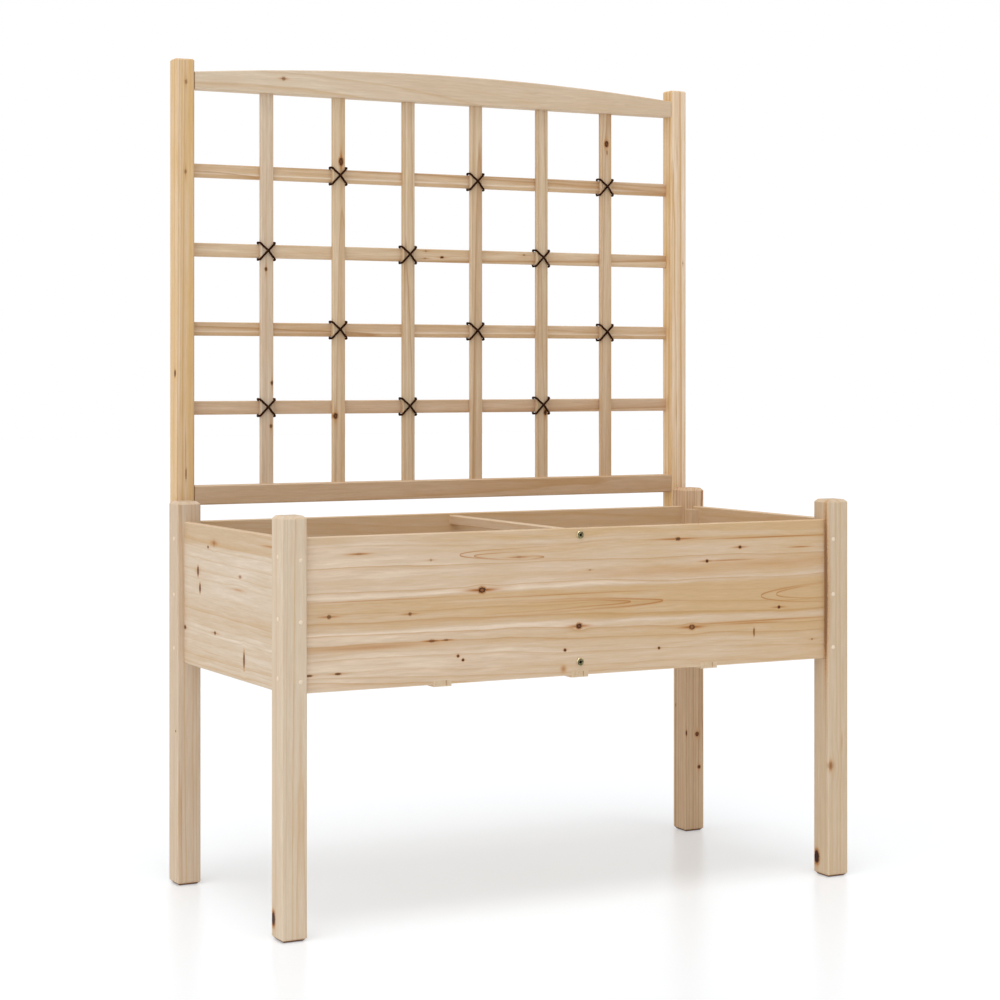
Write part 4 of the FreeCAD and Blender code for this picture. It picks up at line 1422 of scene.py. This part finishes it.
@dataclass
class SlatNails:
    """The small round nails that hold the floor slats to their bars and ledges.

    Each head stands proud by its rise, sloping up from its edge, and lies in from the slat's sides.
    """

    head: float = 2.2
    rise: float = 0.5
    edge: float = 0.2
    sunk: float = 1.0
    slope: float = 0.9
    inset: float = 14.0
    slats: int = 6
    across: tuple[float, ...] = (-559.0, -285.0, -14.5, 14.5, 285.0, 559.0)
    legs_from: float = 553.0
    finish: MetalFinish = MetalFinish("nail_steel", (0.52, 0.50, 0.46), (0.34, 0.30, 0.25), 0.4)

    def model(self) -> Piece:
        """Models one nail head.

        Returns:
            The nail, with its head up.
        """
        start_cylinder(12, self.head, self.edge + self.sunk, self.edge)
        pick_top()
        bpy.ops.mesh.inset(thickness=self.slope * MM, depth=0.0)
        lift(self.rise - self.edge)
        bpy.ops.mesh.poke(offset=0.0)
        return finish_piece("nail_model", 50)

    def build(self) -> None:
        """Models one nail and sets two in each slat at its ends and over each bar.

        The first and last slats are notched round the legs, so they have none at their outer ends.
        """
        model = self.model()
        made = []
        for slat in range(1, self.slats + 1):
            node = f"floor_slat_left_{slat}"
            top = side_of(node, HIGH, Z)
            for x in self.across:
                for y in (side_of(node, LOW, Y) + self.inset, side_of(node, HIGH, Y) - self.inset):
                    if abs(x) > self.legs_from and slat in (1, self.slats):
                        continue
                    made.append(copied(model, "nail", seat((x, y, top), (0, 0, 1))))
        settle(joined(made, "slat_nails"), self.finish.material(), "plated_steel")
        bpy.data.objects.remove(model)


# --------------------------------------------------------------------------------------------------
# Studio
# --------------------------------------------------------------------------------------------------


@dataclass
class Studio:
    """The white floor, the soft light and the camera.

    A lamp has its name, its strength, the way to it and its width in degrees. Glow is the share of
    the floor that is plain white to the camera, so its shadow is that much lighter.
    """

    floor_half: float = 30.0
    floor_drop: float = 0.0005
    floor_rough: float = 0.28
    floor_tone: Colour = (0.932, 0.966, 1.0)
    floor_glow: float = 0.30
    sky: float = 0.60
    lamps: tuple[tuple[str, float, Point, float], ...] = (
        ("top_lamp", 1.27, (-0.10, -0.19, 0.975), 28.0),
        ("side_lamp", 1.24, (-0.89, -0.37, 0.26), 100.0),
    )
    eye: Point = (-2.1845, -4.0989, 0.9909)
    heading: float = -27.795
    lens: float = 84.97
    shift: tuple[float, float] = (0.0045, -0.127)

    def floor(self) -> None:
        """Models the floor: white, with a lightened shadow and a faint gloss."""
        bpy.ops.object.select_all(action="DESELECT")
        bpy.ops.mesh.primitive_plane_add(size=2 * self.floor_half, location=(0, 0, -self.floor_drop))
        start_edit()
        bpy.ops.mesh.subdivide(number_cuts=3)
        floor = finish_piece("floor")
        material, graph, shader = new_material("studio_floor")
        shader.inputs["Base Color"].default_value = (*self.floor_tone, 1.0)
        shader.inputs["Roughness"].default_value = self.floor_rough
        seen = graph.add("LightPath").outputs["Is Camera Ray"]
        mixed = graph.add("MixShader")
        graph.feed(mixed.inputs[0], graph.times(seen, self.floor_glow))
        graph.feed(mixed.inputs[1], shader.outputs[0])
        graph.feed(mixed.inputs[2], graph.add("Emission").outputs[0])
        graph.feed(material.node_tree.nodes["Material Output"].inputs["Surface"], mixed.outputs[0])
        floor.data.materials.append(material)

    def light(self) -> None:
        """Sets the even sky, white behind the object, and two wide soft lamps, above and at the left."""
        world = bpy.data.worlds.new("studio_sky")
        bpy.context.scene.world = world
        world.use_nodes = True
        graph = Graph(world.node_tree)
        background = world.node_tree.nodes["Background"]
        path = graph.add("LightPath")
        seen = graph.math("MAXIMUM", path.outputs["Is Camera Ray"], path.outputs["Is Glossy Ray"])
        seen = graph.math("MAXIMUM", seen, path.outputs["Is Transmission Ray"])
        background.inputs["Color"].default_value = (1.0, 1.0, 1.0, 1.0)
        strength = graph.plus(graph.times(seen, 1.0 - self.sky), self.sky)
        graph.feed(background.inputs["Strength"], strength)
        for name, power, source, angle in self.lamps:
            lamp = bpy.data.lights.new(name, "SUN")
            lamp.energy = power
            lamp.angle = math.radians(angle)
            holder = bpy.data.objects.new(name, lamp)
            holder.rotation_euler = Vector(source).to_track_quat("Z", "Y").to_euler()
            bpy.context.scene.collection.objects.link(holder)

    def camera(self) -> None:
        """Sets the camera level, at the left in front, with its picture shifted down."""
        data = bpy.data.cameras.new("camera")
        data.lens = self.lens
        data.sensor_width = 36.0
        data.shift_x, data.shift_y = self.shift
        data.clip_end = 200.0
        camera = bpy.data.objects.new("camera", data)
        camera.location = self.eye
        camera.rotation_euler = (math.pi / 2, 0.0, math.radians(self.heading))
        bpy.context.scene.collection.objects.link(camera)
        bpy.context.scene.camera = camera

    def build(self) -> None:
        """Builds the whole studio."""
        self.floor()
        self.light()
        self.camera()
        bpy.context.scene.view_settings.view_transform = "Standard"
        log.info("studio: floor, sky, lamps and camera")


# --------------------------------------------------------------------------------------------------
# The object's own boards
# --------------------------------------------------------------------------------------------------

# The faces that the marks lie on, in metres.
FRONT = side_of("front_panel", LOW, Y) * MM
LEFT = side_of("left_panel", LOW, X) * MM
LEG_LEFT = side_of("leg_front_left", LOW, X) * MM
LEG_FRONT = side_of("leg_front_right", LOW, Y) * MM
LEG_INSIDE = side_of("leg_front_right", LOW, X) * MM
LEG_BACK = side_of("leg_back_left", LOW, Y) * MM
POST = side_of("post_left", LOW, Y) * MM
COLUMN = side_of("lath_upright_1", LOW, Y) * MM
ROW = side_of("lath_level_1", LOW, Y) * MM

FRONT_KNOTS_AND_SHADE = (
    Knot((-0.2052, FRONT, 0.5963), (7.4, 5.2), 0.85, 4.5, 0.95, 0.9, heart=0.75),
    Knot((-0.0021, FRONT, 0.5207), (6.2, 4.8), 0.7, 4.0, 0.95, 0.9, heart=0.3),
    Knot((0.2462, FRONT, 0.5064), (7.0, 4.6), 0.8, 4.0, 0.8, 0.9, heart=0.85),
    Knot((-0.5084, FRONT, 0.5618), (4.2, 3.4), 0.6, 5.0, 0.6, 0.6),
    Knot((-0.3504, FRONT, 0.5596), (3.6, 2.8), 0.6, 5.0, 0.6, 0.8),
    Knot((0.2147, FRONT, 0.6755), (5.5, 3.0), 0.7, 9.0, 0.75, 0.6),
    Knot((0.3556, FRONT, 0.6552), (3.6, 2.8), 0.65, 5.0, 0.85, 0.5),
    Knot((0.2801, FRONT, 0.6310), (3.4, 2.8), 0.6, 6.0, 0.9, 0.5),
    Knot((0.4464, FRONT, 0.5353), (3.4, 2.8), 0.65, 5.0, 0.85, 0.5),
    Knot((-0.3066, FRONT, 0.5090), (6.0, 3.0), 0.95, 3.0, 0.42, 0.4),
    Knot((-0.2784, FRONT, 0.5093), (5.0, 2.0), 0.9, 3.0, 0.4, 0.4),
    Knot((-0.2541, FRONT, 0.4791), (2.6, 2.6), 0.2, 2.5, 0.8, 0.3),
    Knot((-0.2440, FRONT, 0.4713), (2.4, 2.4), 0.2, 2.5, 0.9, 0.3),
    Knot((-0.0320, FRONT, 0.4778), (2.8, 2.6), 0.2, 2.5, 0.9, 0.3),
    Knot((0.1723, FRONT, 0.4704), (2.6, 2.4), 0.3, 3.0, 0.8, 0.3),
    Knot((0.5245, FRONT, 0.4689), (2.4, 1.6), 0.4, 4.0, 0.5, 0.2),
    Knot((-0.5466, FRONT, 0.4604), (6.0, 1.8), 0.4, 2.5, 0.7, 0.2),
    Knot((-0.4911, FRONT, 0.4606), (6.0, 1.9), 0.5, 3.0, 0.75, 0.2),
    Knot((0.3880, FRONT, 0.4896), (2.0, 7.5), 0.3, 1.6, 0.6, 0.1),
    Knot((-0.0352, FRONT, 0.4427), (4.5, 11.0), 0.55, 1.4, 0.0, 0.0),
    Knot((-0.4505, FRONT, 0.6705), (6.0, 2.8), 0.7, 4.0, 0.12, 0.9),
    Knot((-0.1288, FRONT, 0.6535), (5.0, 2.6), 0.6, 5.0, 0.15, 0.9),
    Knot((-0.3086, FRONT, 0.6547), (2.6, 2.0), 0.4, 4.0, 0.35, 0.5),
    Knot((0.0215, FRONT, 0.6239), (2.6, 1.6), 0.4, 4.0, 0.35, 0.3),
    Knot((0.3787, FRONT, 0.5075), (16.0, 2.4), 0.45, 4.0, 0.0, 0.2),
    Knot((0.4960, FRONT, 0.6510), (14.0, 2.2), 0.65, 2.0, 0.0, 0.2),
    # Painted shade: a dark brown line down the panel's right end, where it meets the right front leg.
    Knot((0.5548, FRONT, 0.5665), (2.6, 700.0), 0.5, 1.0, 0.0, 0.0),
    Knot((0.4300, FRONT, 0.6728), (90.0, 2.4), 0.6, 1.8, 0.0, 0.0),
    Knot((0.3300, FRONT, 0.6310), (38.0, 2.6), 0.52, 1.7, 0.0, 0.0),
    Knot((0.4100, FRONT, 0.5115), (100.0, 2.6), 0.52, 1.7, 0.0, 0.0),
    Knot((-0.4350, FRONT, 0.5040), (75.0, 7.5), 0.42, 1.7, 0.0, 0.0),
    Knot((-0.0400, FRONT, 0.5810), (110.0, 1.8), 0.46, 1.7, 0.0, 0.0),
    Knot((-0.4200, FRONT, 0.5870), (90.0, 1.8), 0.44, 1.7, 0.0, 0.0),
    Knot((0.2000, FRONT, 0.6150), (110.0, 15.0), 0.21, 2.0, 0.0, 0.0),
    Knot((0.4500, FRONT, 0.6220), (90.0, 17.0), 0.23, 2.0, 0.0, 0.0),
)
FRONT_FLAMES = (
    Flame((0.4043, FRONT, 0.5624), 1.0, 2.2, 150.0, 1.3, 0.2),
    Flame((0.4400, FRONT, 0.5650), 1.0, 1.6, 90.0, 1.1, 0.1),
    Flame((0.1812, FRONT, 0.5589), -1.0, 0.55, 260.0, 1.8, 0.8),
    Flame((0.1100, FRONT, 0.5600), -1.0, 0.30, 200.0, 1.4, 0.3),
    Flame((-0.2507, FRONT, 0.6600), 1.0, 1.1, 130.0, 1.1, 0.1),
    Flame((-0.2216, FRONT, 0.6575), 1.0, 0.6, 90.0, 1.1, 0.25),
    Flame((-0.0760, FRONT, 0.6520), -1.0, 0.5, 40.0, 1.5, 0.4),
)
FRONT_BANDS: Bands = (
    (0.0, 0.3), (0.10, 0.12), (0.20, 0.02), (0.26, 0.5), (0.30, 0.4), (0.33, 0.0), (0.36, -0.4),
    (0.385, 0.75), (0.46, 0.75), (0.54, 0.85), (0.575, 1.05), (0.592, 0.35), (0.602, -0.35), (0.64, 0.15),
    (0.70, 0.5), (0.74, 0.15), (0.84, 0.25), (0.88, 0.55), (0.93, 0.25), (0.955, 0.8), (1.0, 0.65),
)
LEFT_KNOTS = (
    Knot((LEFT, 0.0601, 0.6722), (3.5, 7.0), 0.6, 5.0, 0.25, 0.5),
    Knot((LEFT, 0.0915, 0.6627), (3.0, 2.4), 0.3, 3.0, 0.9, 0.3),
    Knot((LEFT, 0.1446, 0.6135), (4.0, 8.5), 0.35, 3.0, 0.9, 0.3),
    Knot((LEFT, 0.1339, 0.5820), (3.6, 8.0), 0.2, 2.0, 0.95, 0.3),
    Knot((LEFT, -0.0714, 0.6186), (6.5, 2.8), 0.3, 2.0, 0.45, 0.3),
    Knot((LEFT, -0.0615, 0.5940), (14.0, 4.0), 0.4, 2.2, 0.0, 0.8),
    Knot((LEFT, 0.0549, 0.5041), (4.5, 2.8), 0.45, 5.0, 0.8, 0.5),
    Knot((LEFT, 0.2154, 0.5000), (6.0, 3.2), 0.5, 2.5, 0.8, 0.4),
    Knot((LEFT, -0.0910, 0.4692), (3.6, 14.0), 0.45, 1.6, 0.8, 0.3),
    Knot((LEFT, -0.2194, 0.6830), (16.0, 3.0), 0.5, 3.0, 0.0, 0.3),
)
LEFT_BANDS: Bands = (
    (0.0, 0.5), (0.05, 0.2), (0.10, 0.5), (0.14, 0.05), (0.22, 0.4), (0.25, -0.1), (0.31, 0.35),
    (0.34, 0.7), (0.48, 0.5), (0.52, 0.1), (0.66, 0.15), (0.80, 0.05), (0.85, 0.2), (0.875, 1.05),
    (0.92, 0.85), (1.0, 0.95),
)
# A lath sawn through the edge of a ring: brown above, a pale line and a warm lower edge.
RINGED: Bands = (
    (0.0, 1.25), (0.22, 1.1), (0.27, 0.5), (0.31, -0.3), (0.36, -0.2), (0.40, 0.5), (0.55, 0.75), (0.8, 0.55),
    (1.0, 0.8),
)
EVEN: Bands = ((0.0, 0.6), (0.3, 0.35), (0.55, 0.25), (0.8, 0.4), (1.0, 0.5))


def tinted(base: Timber, amounts: Colour) -> Timber:
    """Gives a board another tone.

    Args:
        base: The board's look.
        amounts: What its wood colours are multiplied by.

    Returns:
        The new look.
    """
    colours = (base.pale, base.warm, base.line)
    pale, warm, line = (tuple(amount * share for amount, share in zip(colour, amounts)) for colour in colours)
    return replace(base, pale=pale, warm=warm, line=line)


def foot_contact_shade(leg: str) -> Knot:
    """Makes the thin dark line of painted contact shade round a foot's lower edge, at the floor.

    Args:
        leg: The leg's node.

    Returns:
        The mark.
    """
    place = (middle_of(leg, X) * MM, middle_of(leg, Y) * MM, 0.0)
    # Painted shade: a dark line all round the foot where it stands on the floor.
    return Knot(place, (2.6, 1.0), 0.6, 1.0, 0.75, 0.0, Branch.ALL_ROUND)


def box_boards() -> Boards:
    """Describes the four panels.

    Returns:
        The boards.
    """
    plain = Timber(
        Grain.ALONG, pitch=14.0, depth=80.0, side=30.0, lean=0.04, waver=5.0, seed=7.7, bands=LEFT_BANDS
    )
    return Boards(
        "panels",
        {
            "front_panel": Timber(
                Grain.ALONG, pale=(0.645, 0.492, 0.350), warm=(0.582, 0.392, 0.212), line=(0.47, 0.25, 0.08),
                drift=0.8, pitch=14.0, depth=70.0, side=-190.0, lean=0.03, waver=5.0, lines=0.55, fibre=0.34,
                seed=2.1, knots=FRONT_KNOTS_AND_SHADE, flames=FRONT_FLAMES, bands=FRONT_BANDS,
            ),
            "back_panel": plain,
            "left_panel": Timber(
                Grain.DEEP, pale=(0.655, 0.535, 0.413), warm=(0.570, 0.414, 0.265), pitch=11.0, depth=60.0,
                side=170.0, lean=0.035, waver=4.0, lines=0.38, fibre=0.34, seed=4.4, knots=LEFT_KNOTS,
                bands=LEFT_BANDS,
            ),
            "right_panel": replace(
                plain, grain=Grain.DEEP, side=-50.0, lean=0.07, seed=9.3, bands=FRONT_BANDS
            ),
        },
    )


def leg_boards() -> Boards:
    """Describes the four legs.

    Returns:
        The boards.
    """
    near = Timber(
        Grain.UPRIGHT, pale=(0.664, 0.541, 0.410), warm=(0.603, 0.457, 0.308), pitch=5.0, depth=45.0,
        lean=0.006, waver=2.0, lines=0.45, fibre=0.34,
    )
    edge = Branch.ACROSS_EDGE
    return Boards(
        "legs",
        {
            "leg_front_left": replace(
                near, seed=1.3, side=12.0,
                knots=(
                    Knot((LEG_LEFT, -0.2644, 0.0360), (12.5, 7.0), 0.3, 1.8, 1.0, 0.5, edge),
                    foot_contact_shade("leg_front_left"),
                ),
            ),
            "leg_front_right": replace(
                tinted(near, (0.93, 0.90, 0.85)), seed=3.9, side=-14.0, depth=38.0,
                knots=(
                    Knot((LEG_INSIDE, -0.2653, 0.0343), (13.0, 8.0), 0.3, 1.8, 1.0, 0.5, edge),
                    Knot((0.5611, LEG_FRONT, 0.2193), (8.0, 7.5), 0.7, 1.5, 0.2, 0.8, Branch.SPOT),
                    Knot((0.5880, LEG_FRONT, 0.2640), (12.0, 1.6), 0.55, 2.0, 0.0, 0.2),
                    # Painted shade: a dark strip on the leg's inner face, in front of the front panel's end.
                    Knot((LEG_INSIDE, -0.2950, 0.5665), (150.0, 7.0), 0.3, 1.0, 0.5, 0.0, Branch.SPOT),
                    foot_contact_shade("leg_front_right"),
                ),
            ),
            "leg_back_left": replace(
                tinted(near, (0.95, 0.933, 0.933)), seed=5.2, side=-22.0, warmth=0.4, lines=0.45, pitch=6.5,
                knots=(
                    Knot((-0.5940, LEG_BACK, 0.1480), (70.0, 1.4), 0.4, 1.3, 0.0, 0.0),
                    Knot((LEG_LEFT, 0.2290, 0.2980), (2.2, 2.0), 0.3, 2.5, 0.8, 0.2, edge),
                    foot_contact_shade("leg_back_left"),
                ),
            ),
            "leg_back_right": replace(
                tinted(near, (0.958, 0.865, 0.770)), seed=8.6, side=18.0, warmth=0.5, depth=32.0, lines=0.85,
                pitch=5.5, fibre=0.45, line=(0.34, 0.15, 0.075), waver=3.0,
                knots=(
                    Knot((0.5578, LEG_BACK, 0.2132), (5.5, 1.7), 0.45, 2.5, 0.9, 0.2),
                    Knot((0.5851, LEG_BACK, 0.2091), (4.6, 4.4), 0.5, 2.5, 0.95, 0.5, heart=0.4),
                    Knot((0.5900, LEG_BACK, 0.1379), (3.8, 3.6), 0.4, 2.5, 0.85, 0.4),
                    Knot((LEG_INSIDE, 0.2571, 0.2691), (4.0, 1.4), 0.3, 2.5, 0.8, 0.2, edge),
                    foot_contact_shade("leg_back_right"),
                ),
            ),
        },
    )


def trellis_boards() -> Boards:
    """Describes the posts, the rails and the laths.

    Returns:
        The boards.
    """
    post = Timber(
        Grain.UPRIGHT, pale=(0.722, 0.540, 0.350), warm=(0.670, 0.435, 0.195), line=(0.52, 0.27, 0.08),
        pitch=4.5, depth=40.0, lean=0.005, waver=1.6, lines=0.75, fibre=0.4,
    )
    rail = Timber(
        Grain.ALONG, pale=(0.672, 0.540, 0.398), warm=(0.585, 0.422, 0.270), drift=0.5, pitch=16.0,
        depth=40.0, side=-60.0, lean=0.11, waver=5.0, lines=0.35, fibre=0.4, seed=3.3,
    )
    lath = Timber(
        Grain.ALONG, pale=(0.700, 0.552, 0.402), warm=(0.595, 0.408, 0.240), line=(0.42, 0.22, 0.09),
        pitch=5.0, depth=34.0, lean=0.008, waver=1.4, lines=0.7, fibre=0.5,
    )
    looks: dict[str, Timber] = {
        "post_left": replace(
            post, seed=2.7, side=10.0,
            bands=(
                (0.0, 0.5), (0.10, 0.35), (0.14, -0.35), (0.20, 0.1), (0.34, 0.7), (0.45, 0.35), (0.62, 0.55),
                (0.72, 1.2), (0.84, 0.8), (1.0, 0.9),
            ),
            knots=(
                Knot((-0.5674, POST, 1.5609), (4.5, 2.4), 0.45, 3.0, 0.45, 0.4),
                Knot((-0.5682, POST, 1.3847), (4.5, 2.4), 0.45, 3.0, 0.45, 0.4),
                Knot((-0.5674, POST, 0.7933), (12.0, 1.2), 0.5, 2.0, 0.6, 0.2),
                Knot((-0.5680, POST, 0.8400), (45.0, 1.1), 0.6, 1.2, 0.0, 0.0),
                Knot((-0.5885, 0.2724, 0.9900), (6.5, 2.6), 0.3, 2.0, 1.0, 0.2, Branch.SPOT),
            ),
        ),
        "post_right": replace(
            post, pale=(0.790, 0.625, 0.460), seed=6.4, side=-16.0,
            bands=(
                (0.0, 0.75), (0.06, 0.7), (0.12, 0.1), (0.24, 0.55), (0.30, 0.15), (0.55, 0.3), (0.75, 0.1),
                (1.0, 0.3),
            ),
            knots=(
                Knot((0.5620, POST, 0.9000), (16.0, 1.4), 0.5, 2.0, 0.0, 0.2),
                Knot((0.5640, POST, 1.4700), (14.0, 1.3), 0.5, 2.0, 0.0, 0.2),
                Knot((0.5790, POST, 1.2300), (2.4, 1.4), 0.5, 3.0, 0.3, 0.2),
            ),
        ),
        "trellis_top_rail": replace(
            rail, knots=(Knot((-0.3613, POST, 1.5786), (4.2, 3.6), 0.6, 2.4, 0.45, 0.8),)
        ),
        "trellis_bottom_rail": replace(
            tinted(rail, (0.93, 0.88, 0.84)), warmth=0.6, side=10.0, lean=0.01, pitch=8.0, lines=0.6, seed=5.8
        ),
    }
    row_knots = {
        2: (
            Knot((-0.0346, ROW, 1.2432), (3.0, 2.2), 0.5, 4.0, 0.3, 0.4),
            Knot((0.0022, ROW, 1.2310), (4.0, 2.2), 0.5, 4.0, 0.9, 0.4),
            Knot((-0.0369, ROW, 1.2280), (3.4, 2.0), 0.5, 4.0, 0.3, 0.4),
            Knot((0.1961, ROW, 1.2403), (3.4, 1.2), 0.5, 5.0, 0.6, 0.4),
        )
    }
    row_tones = {1: (1.05, 1.065, 1.075), 2: (1.01, 1.0, 0.96), 3: (0.98, 0.95, 0.91), 4: (0.94, 0.89, 0.86)}
    for row, tone in row_tones.items():
        looks[f"lath_level_{row}"] = replace(
            tinted(lath, tone), seed=10.0 + 1.7 * row, side=9.0 * (-1) ** row,
            knots=row_knots.get(row, ()), bands=RINGED if row % 2 else EVEN,
        )
    column_knots = {
        1: (
            Knot((-0.3946, COLUMN, 1.1982), (4.0, 2.6), 0.5, 4.0, 0.8, 0.5),
            Knot((-0.3817, COLUMN, 0.9709), (4.0, 2.6), 0.5, 4.0, 0.8, 0.5),
            Knot((-0.3839, COLUMN, 0.8850), (4.0, 2.6), 0.5, 4.0, 0.7, 0.5),
        ),
        2: (
            Knot((-0.2310, COLUMN, 1.4194), (8.5, 4.6), 0.9, 2.6, 0.9, 0.7, heart=0.4),
            Knot((-0.2434, COLUMN, 0.9040), (6.0, 4.6), 0.5, 3.0, 0.9, 0.6, heart=0.3),
        ),
        5: (Knot((0.2420, COLUMN, 0.9070), (5.5, 3.4), 0.6, 3.0, 0.9, 0.5),),
        6: (
            Knot((0.3924, COLUMN, 1.4831), (6.5, 4.6), 0.5, 2.6, 0.95, 0.7, heart=0.35),
            Knot((0.3937, COLUMN, 1.4650), (5.0, 1.0), 0.5, 2.0, 0.8, 0.2),
        ),
    }
    # For each upright lath its tone and the warmth of its lengthwise streaks.
    columns = (
        (
            (0.945, 0.955, 0.975),
            ((0.0, 0.2), (0.3, 0.1), (0.48, 0.45), (0.56, -0.15), (0.75, 0.2), (1.0, 0.5)),
        ),
        ((0.965, 0.945, 0.88), ((0.0, 0.6), (0.2, 0.1), (0.5, 0.15), (0.7, 0.7), (0.85, 0.4), (1.0, 0.9))),
        ((0.95, 0.945, 0.90), ((0.0, 0.8), (0.22, 0.5), (0.30, -0.2), (0.42, 0.6), (0.6, 0.2), (1.0, 0.6))),
        ((0.93, 0.905, 0.85), ((0.0, 0.5), (0.35, 0.7), (0.5, 0.1), (0.8, 0.5), (1.0, 0.8))),
        ((0.905, 0.88, 0.82), ((0.0, 0.4), (0.12, 0.9), (0.22, 0.2), (0.6, 0.1), (0.85, 0.4), (1.0, 0.3))),
        ((0.93, 0.90, 0.85), ((0.0, 0.8), (0.25, 0.3), (0.55, 0.1), (0.8, 0.6), (1.0, 0.9))),
    )
    for column, (tone, bands) in enumerate(columns, 1):
        looks[f"lath_upright_{column}"] = replace(
            tinted(lath, tone), grain=Grain.UPRIGHT, seed=20.0 + 2.3 * column, side=7.0 * (-1) ** column,
            pitch=3.8, bands=bands, knots=column_knots.get(column, ()),
        )
    return Boards("trellis", looks)


def inner_boards() -> Boards:
    """Describes the battens, the floor and the tie bars.

    Returns:
        The boards.
    """
    upright = Timber(Grain.UPRIGHT, warmth=0.5, depth=30.0, lean=0.01, waver=1.5, lines=0.35)
    deep = replace(upright, grain=Grain.DEEP, warmth=0.45)
    along = Timber(Grain.ALONG, pitch=9.0, depth=50.0, lean=0.03, waver=3.0)
    looks: dict[str, Timber] = {}
    for number, end in enumerate(("front_left", "front_right", "back_left", "back_right")):
        looks["batten_" + end] = replace(upright, seed=30.0 + 3.1 * number)
    deep_names = ("floor_ledge_left", "floor_ledge_right", "tie_bar_upper", "tie_bar_lower")
    for number, name in enumerate(deep_names):
        looks[name] = replace(deep, seed=50.0 + 2.9 * number)
    for number, name in enumerate(("floor_bar_left", "floor_bar_middle", "floor_bar_right")):
        place = ((middle_of(name, X) + 7.0) * MM, FRONT, middle_of(name, Z) * MM)
        check = Knot(place, (0.7, 8.0), 0.3, 1.2, 0.5, 0.0, Branch.AT_END)
        looks[name] = replace(
            deep, pale=(0.71, 0.545, 0.365), seed=61.0 + 2.9 * number, warmth=0.2, knots=(check,)
        )
    for side, start in (("left", 70.0), ("right", 110.0)):
        for number in range(1, 7):
            looks[f"floor_slat_{side}_{number}"] = replace(
                along, seed=start + 3.7 * number, side=15.0 * (-1) ** number,
                warmth=0.25 + 0.12 * (number % 4),
            )
    return Boards("floor and inner boards", looks)


def dress_hidden_steel() -> None:
    """Gives the screws under the buttons and the barrel nuts their steel."""
    steel = MetalFinish("hidden_steel", (0.60, 0.56, 0.44), (0.40, 0.36, 0.25), 0.36).material()
    for name in ("side_screws", "tie_bar_nuts"):
        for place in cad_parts[name].material_slots:
            place.material = steel
    log.info("hidden steel dressed")


def main() -> None:
    """Builds and dresses the whole planter and its studio."""
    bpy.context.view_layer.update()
    Studio().build()
    for family in (box_boards(), leg_boards(), trellis_boards(), inner_boards()):
        family.dress()
    dress_hidden_steel()
    Lashings().build()
    Buttons().build()
    Bolts().build()
    Screws().build()
    SlatNails().build()


if __name__ == "__main__":
    main()
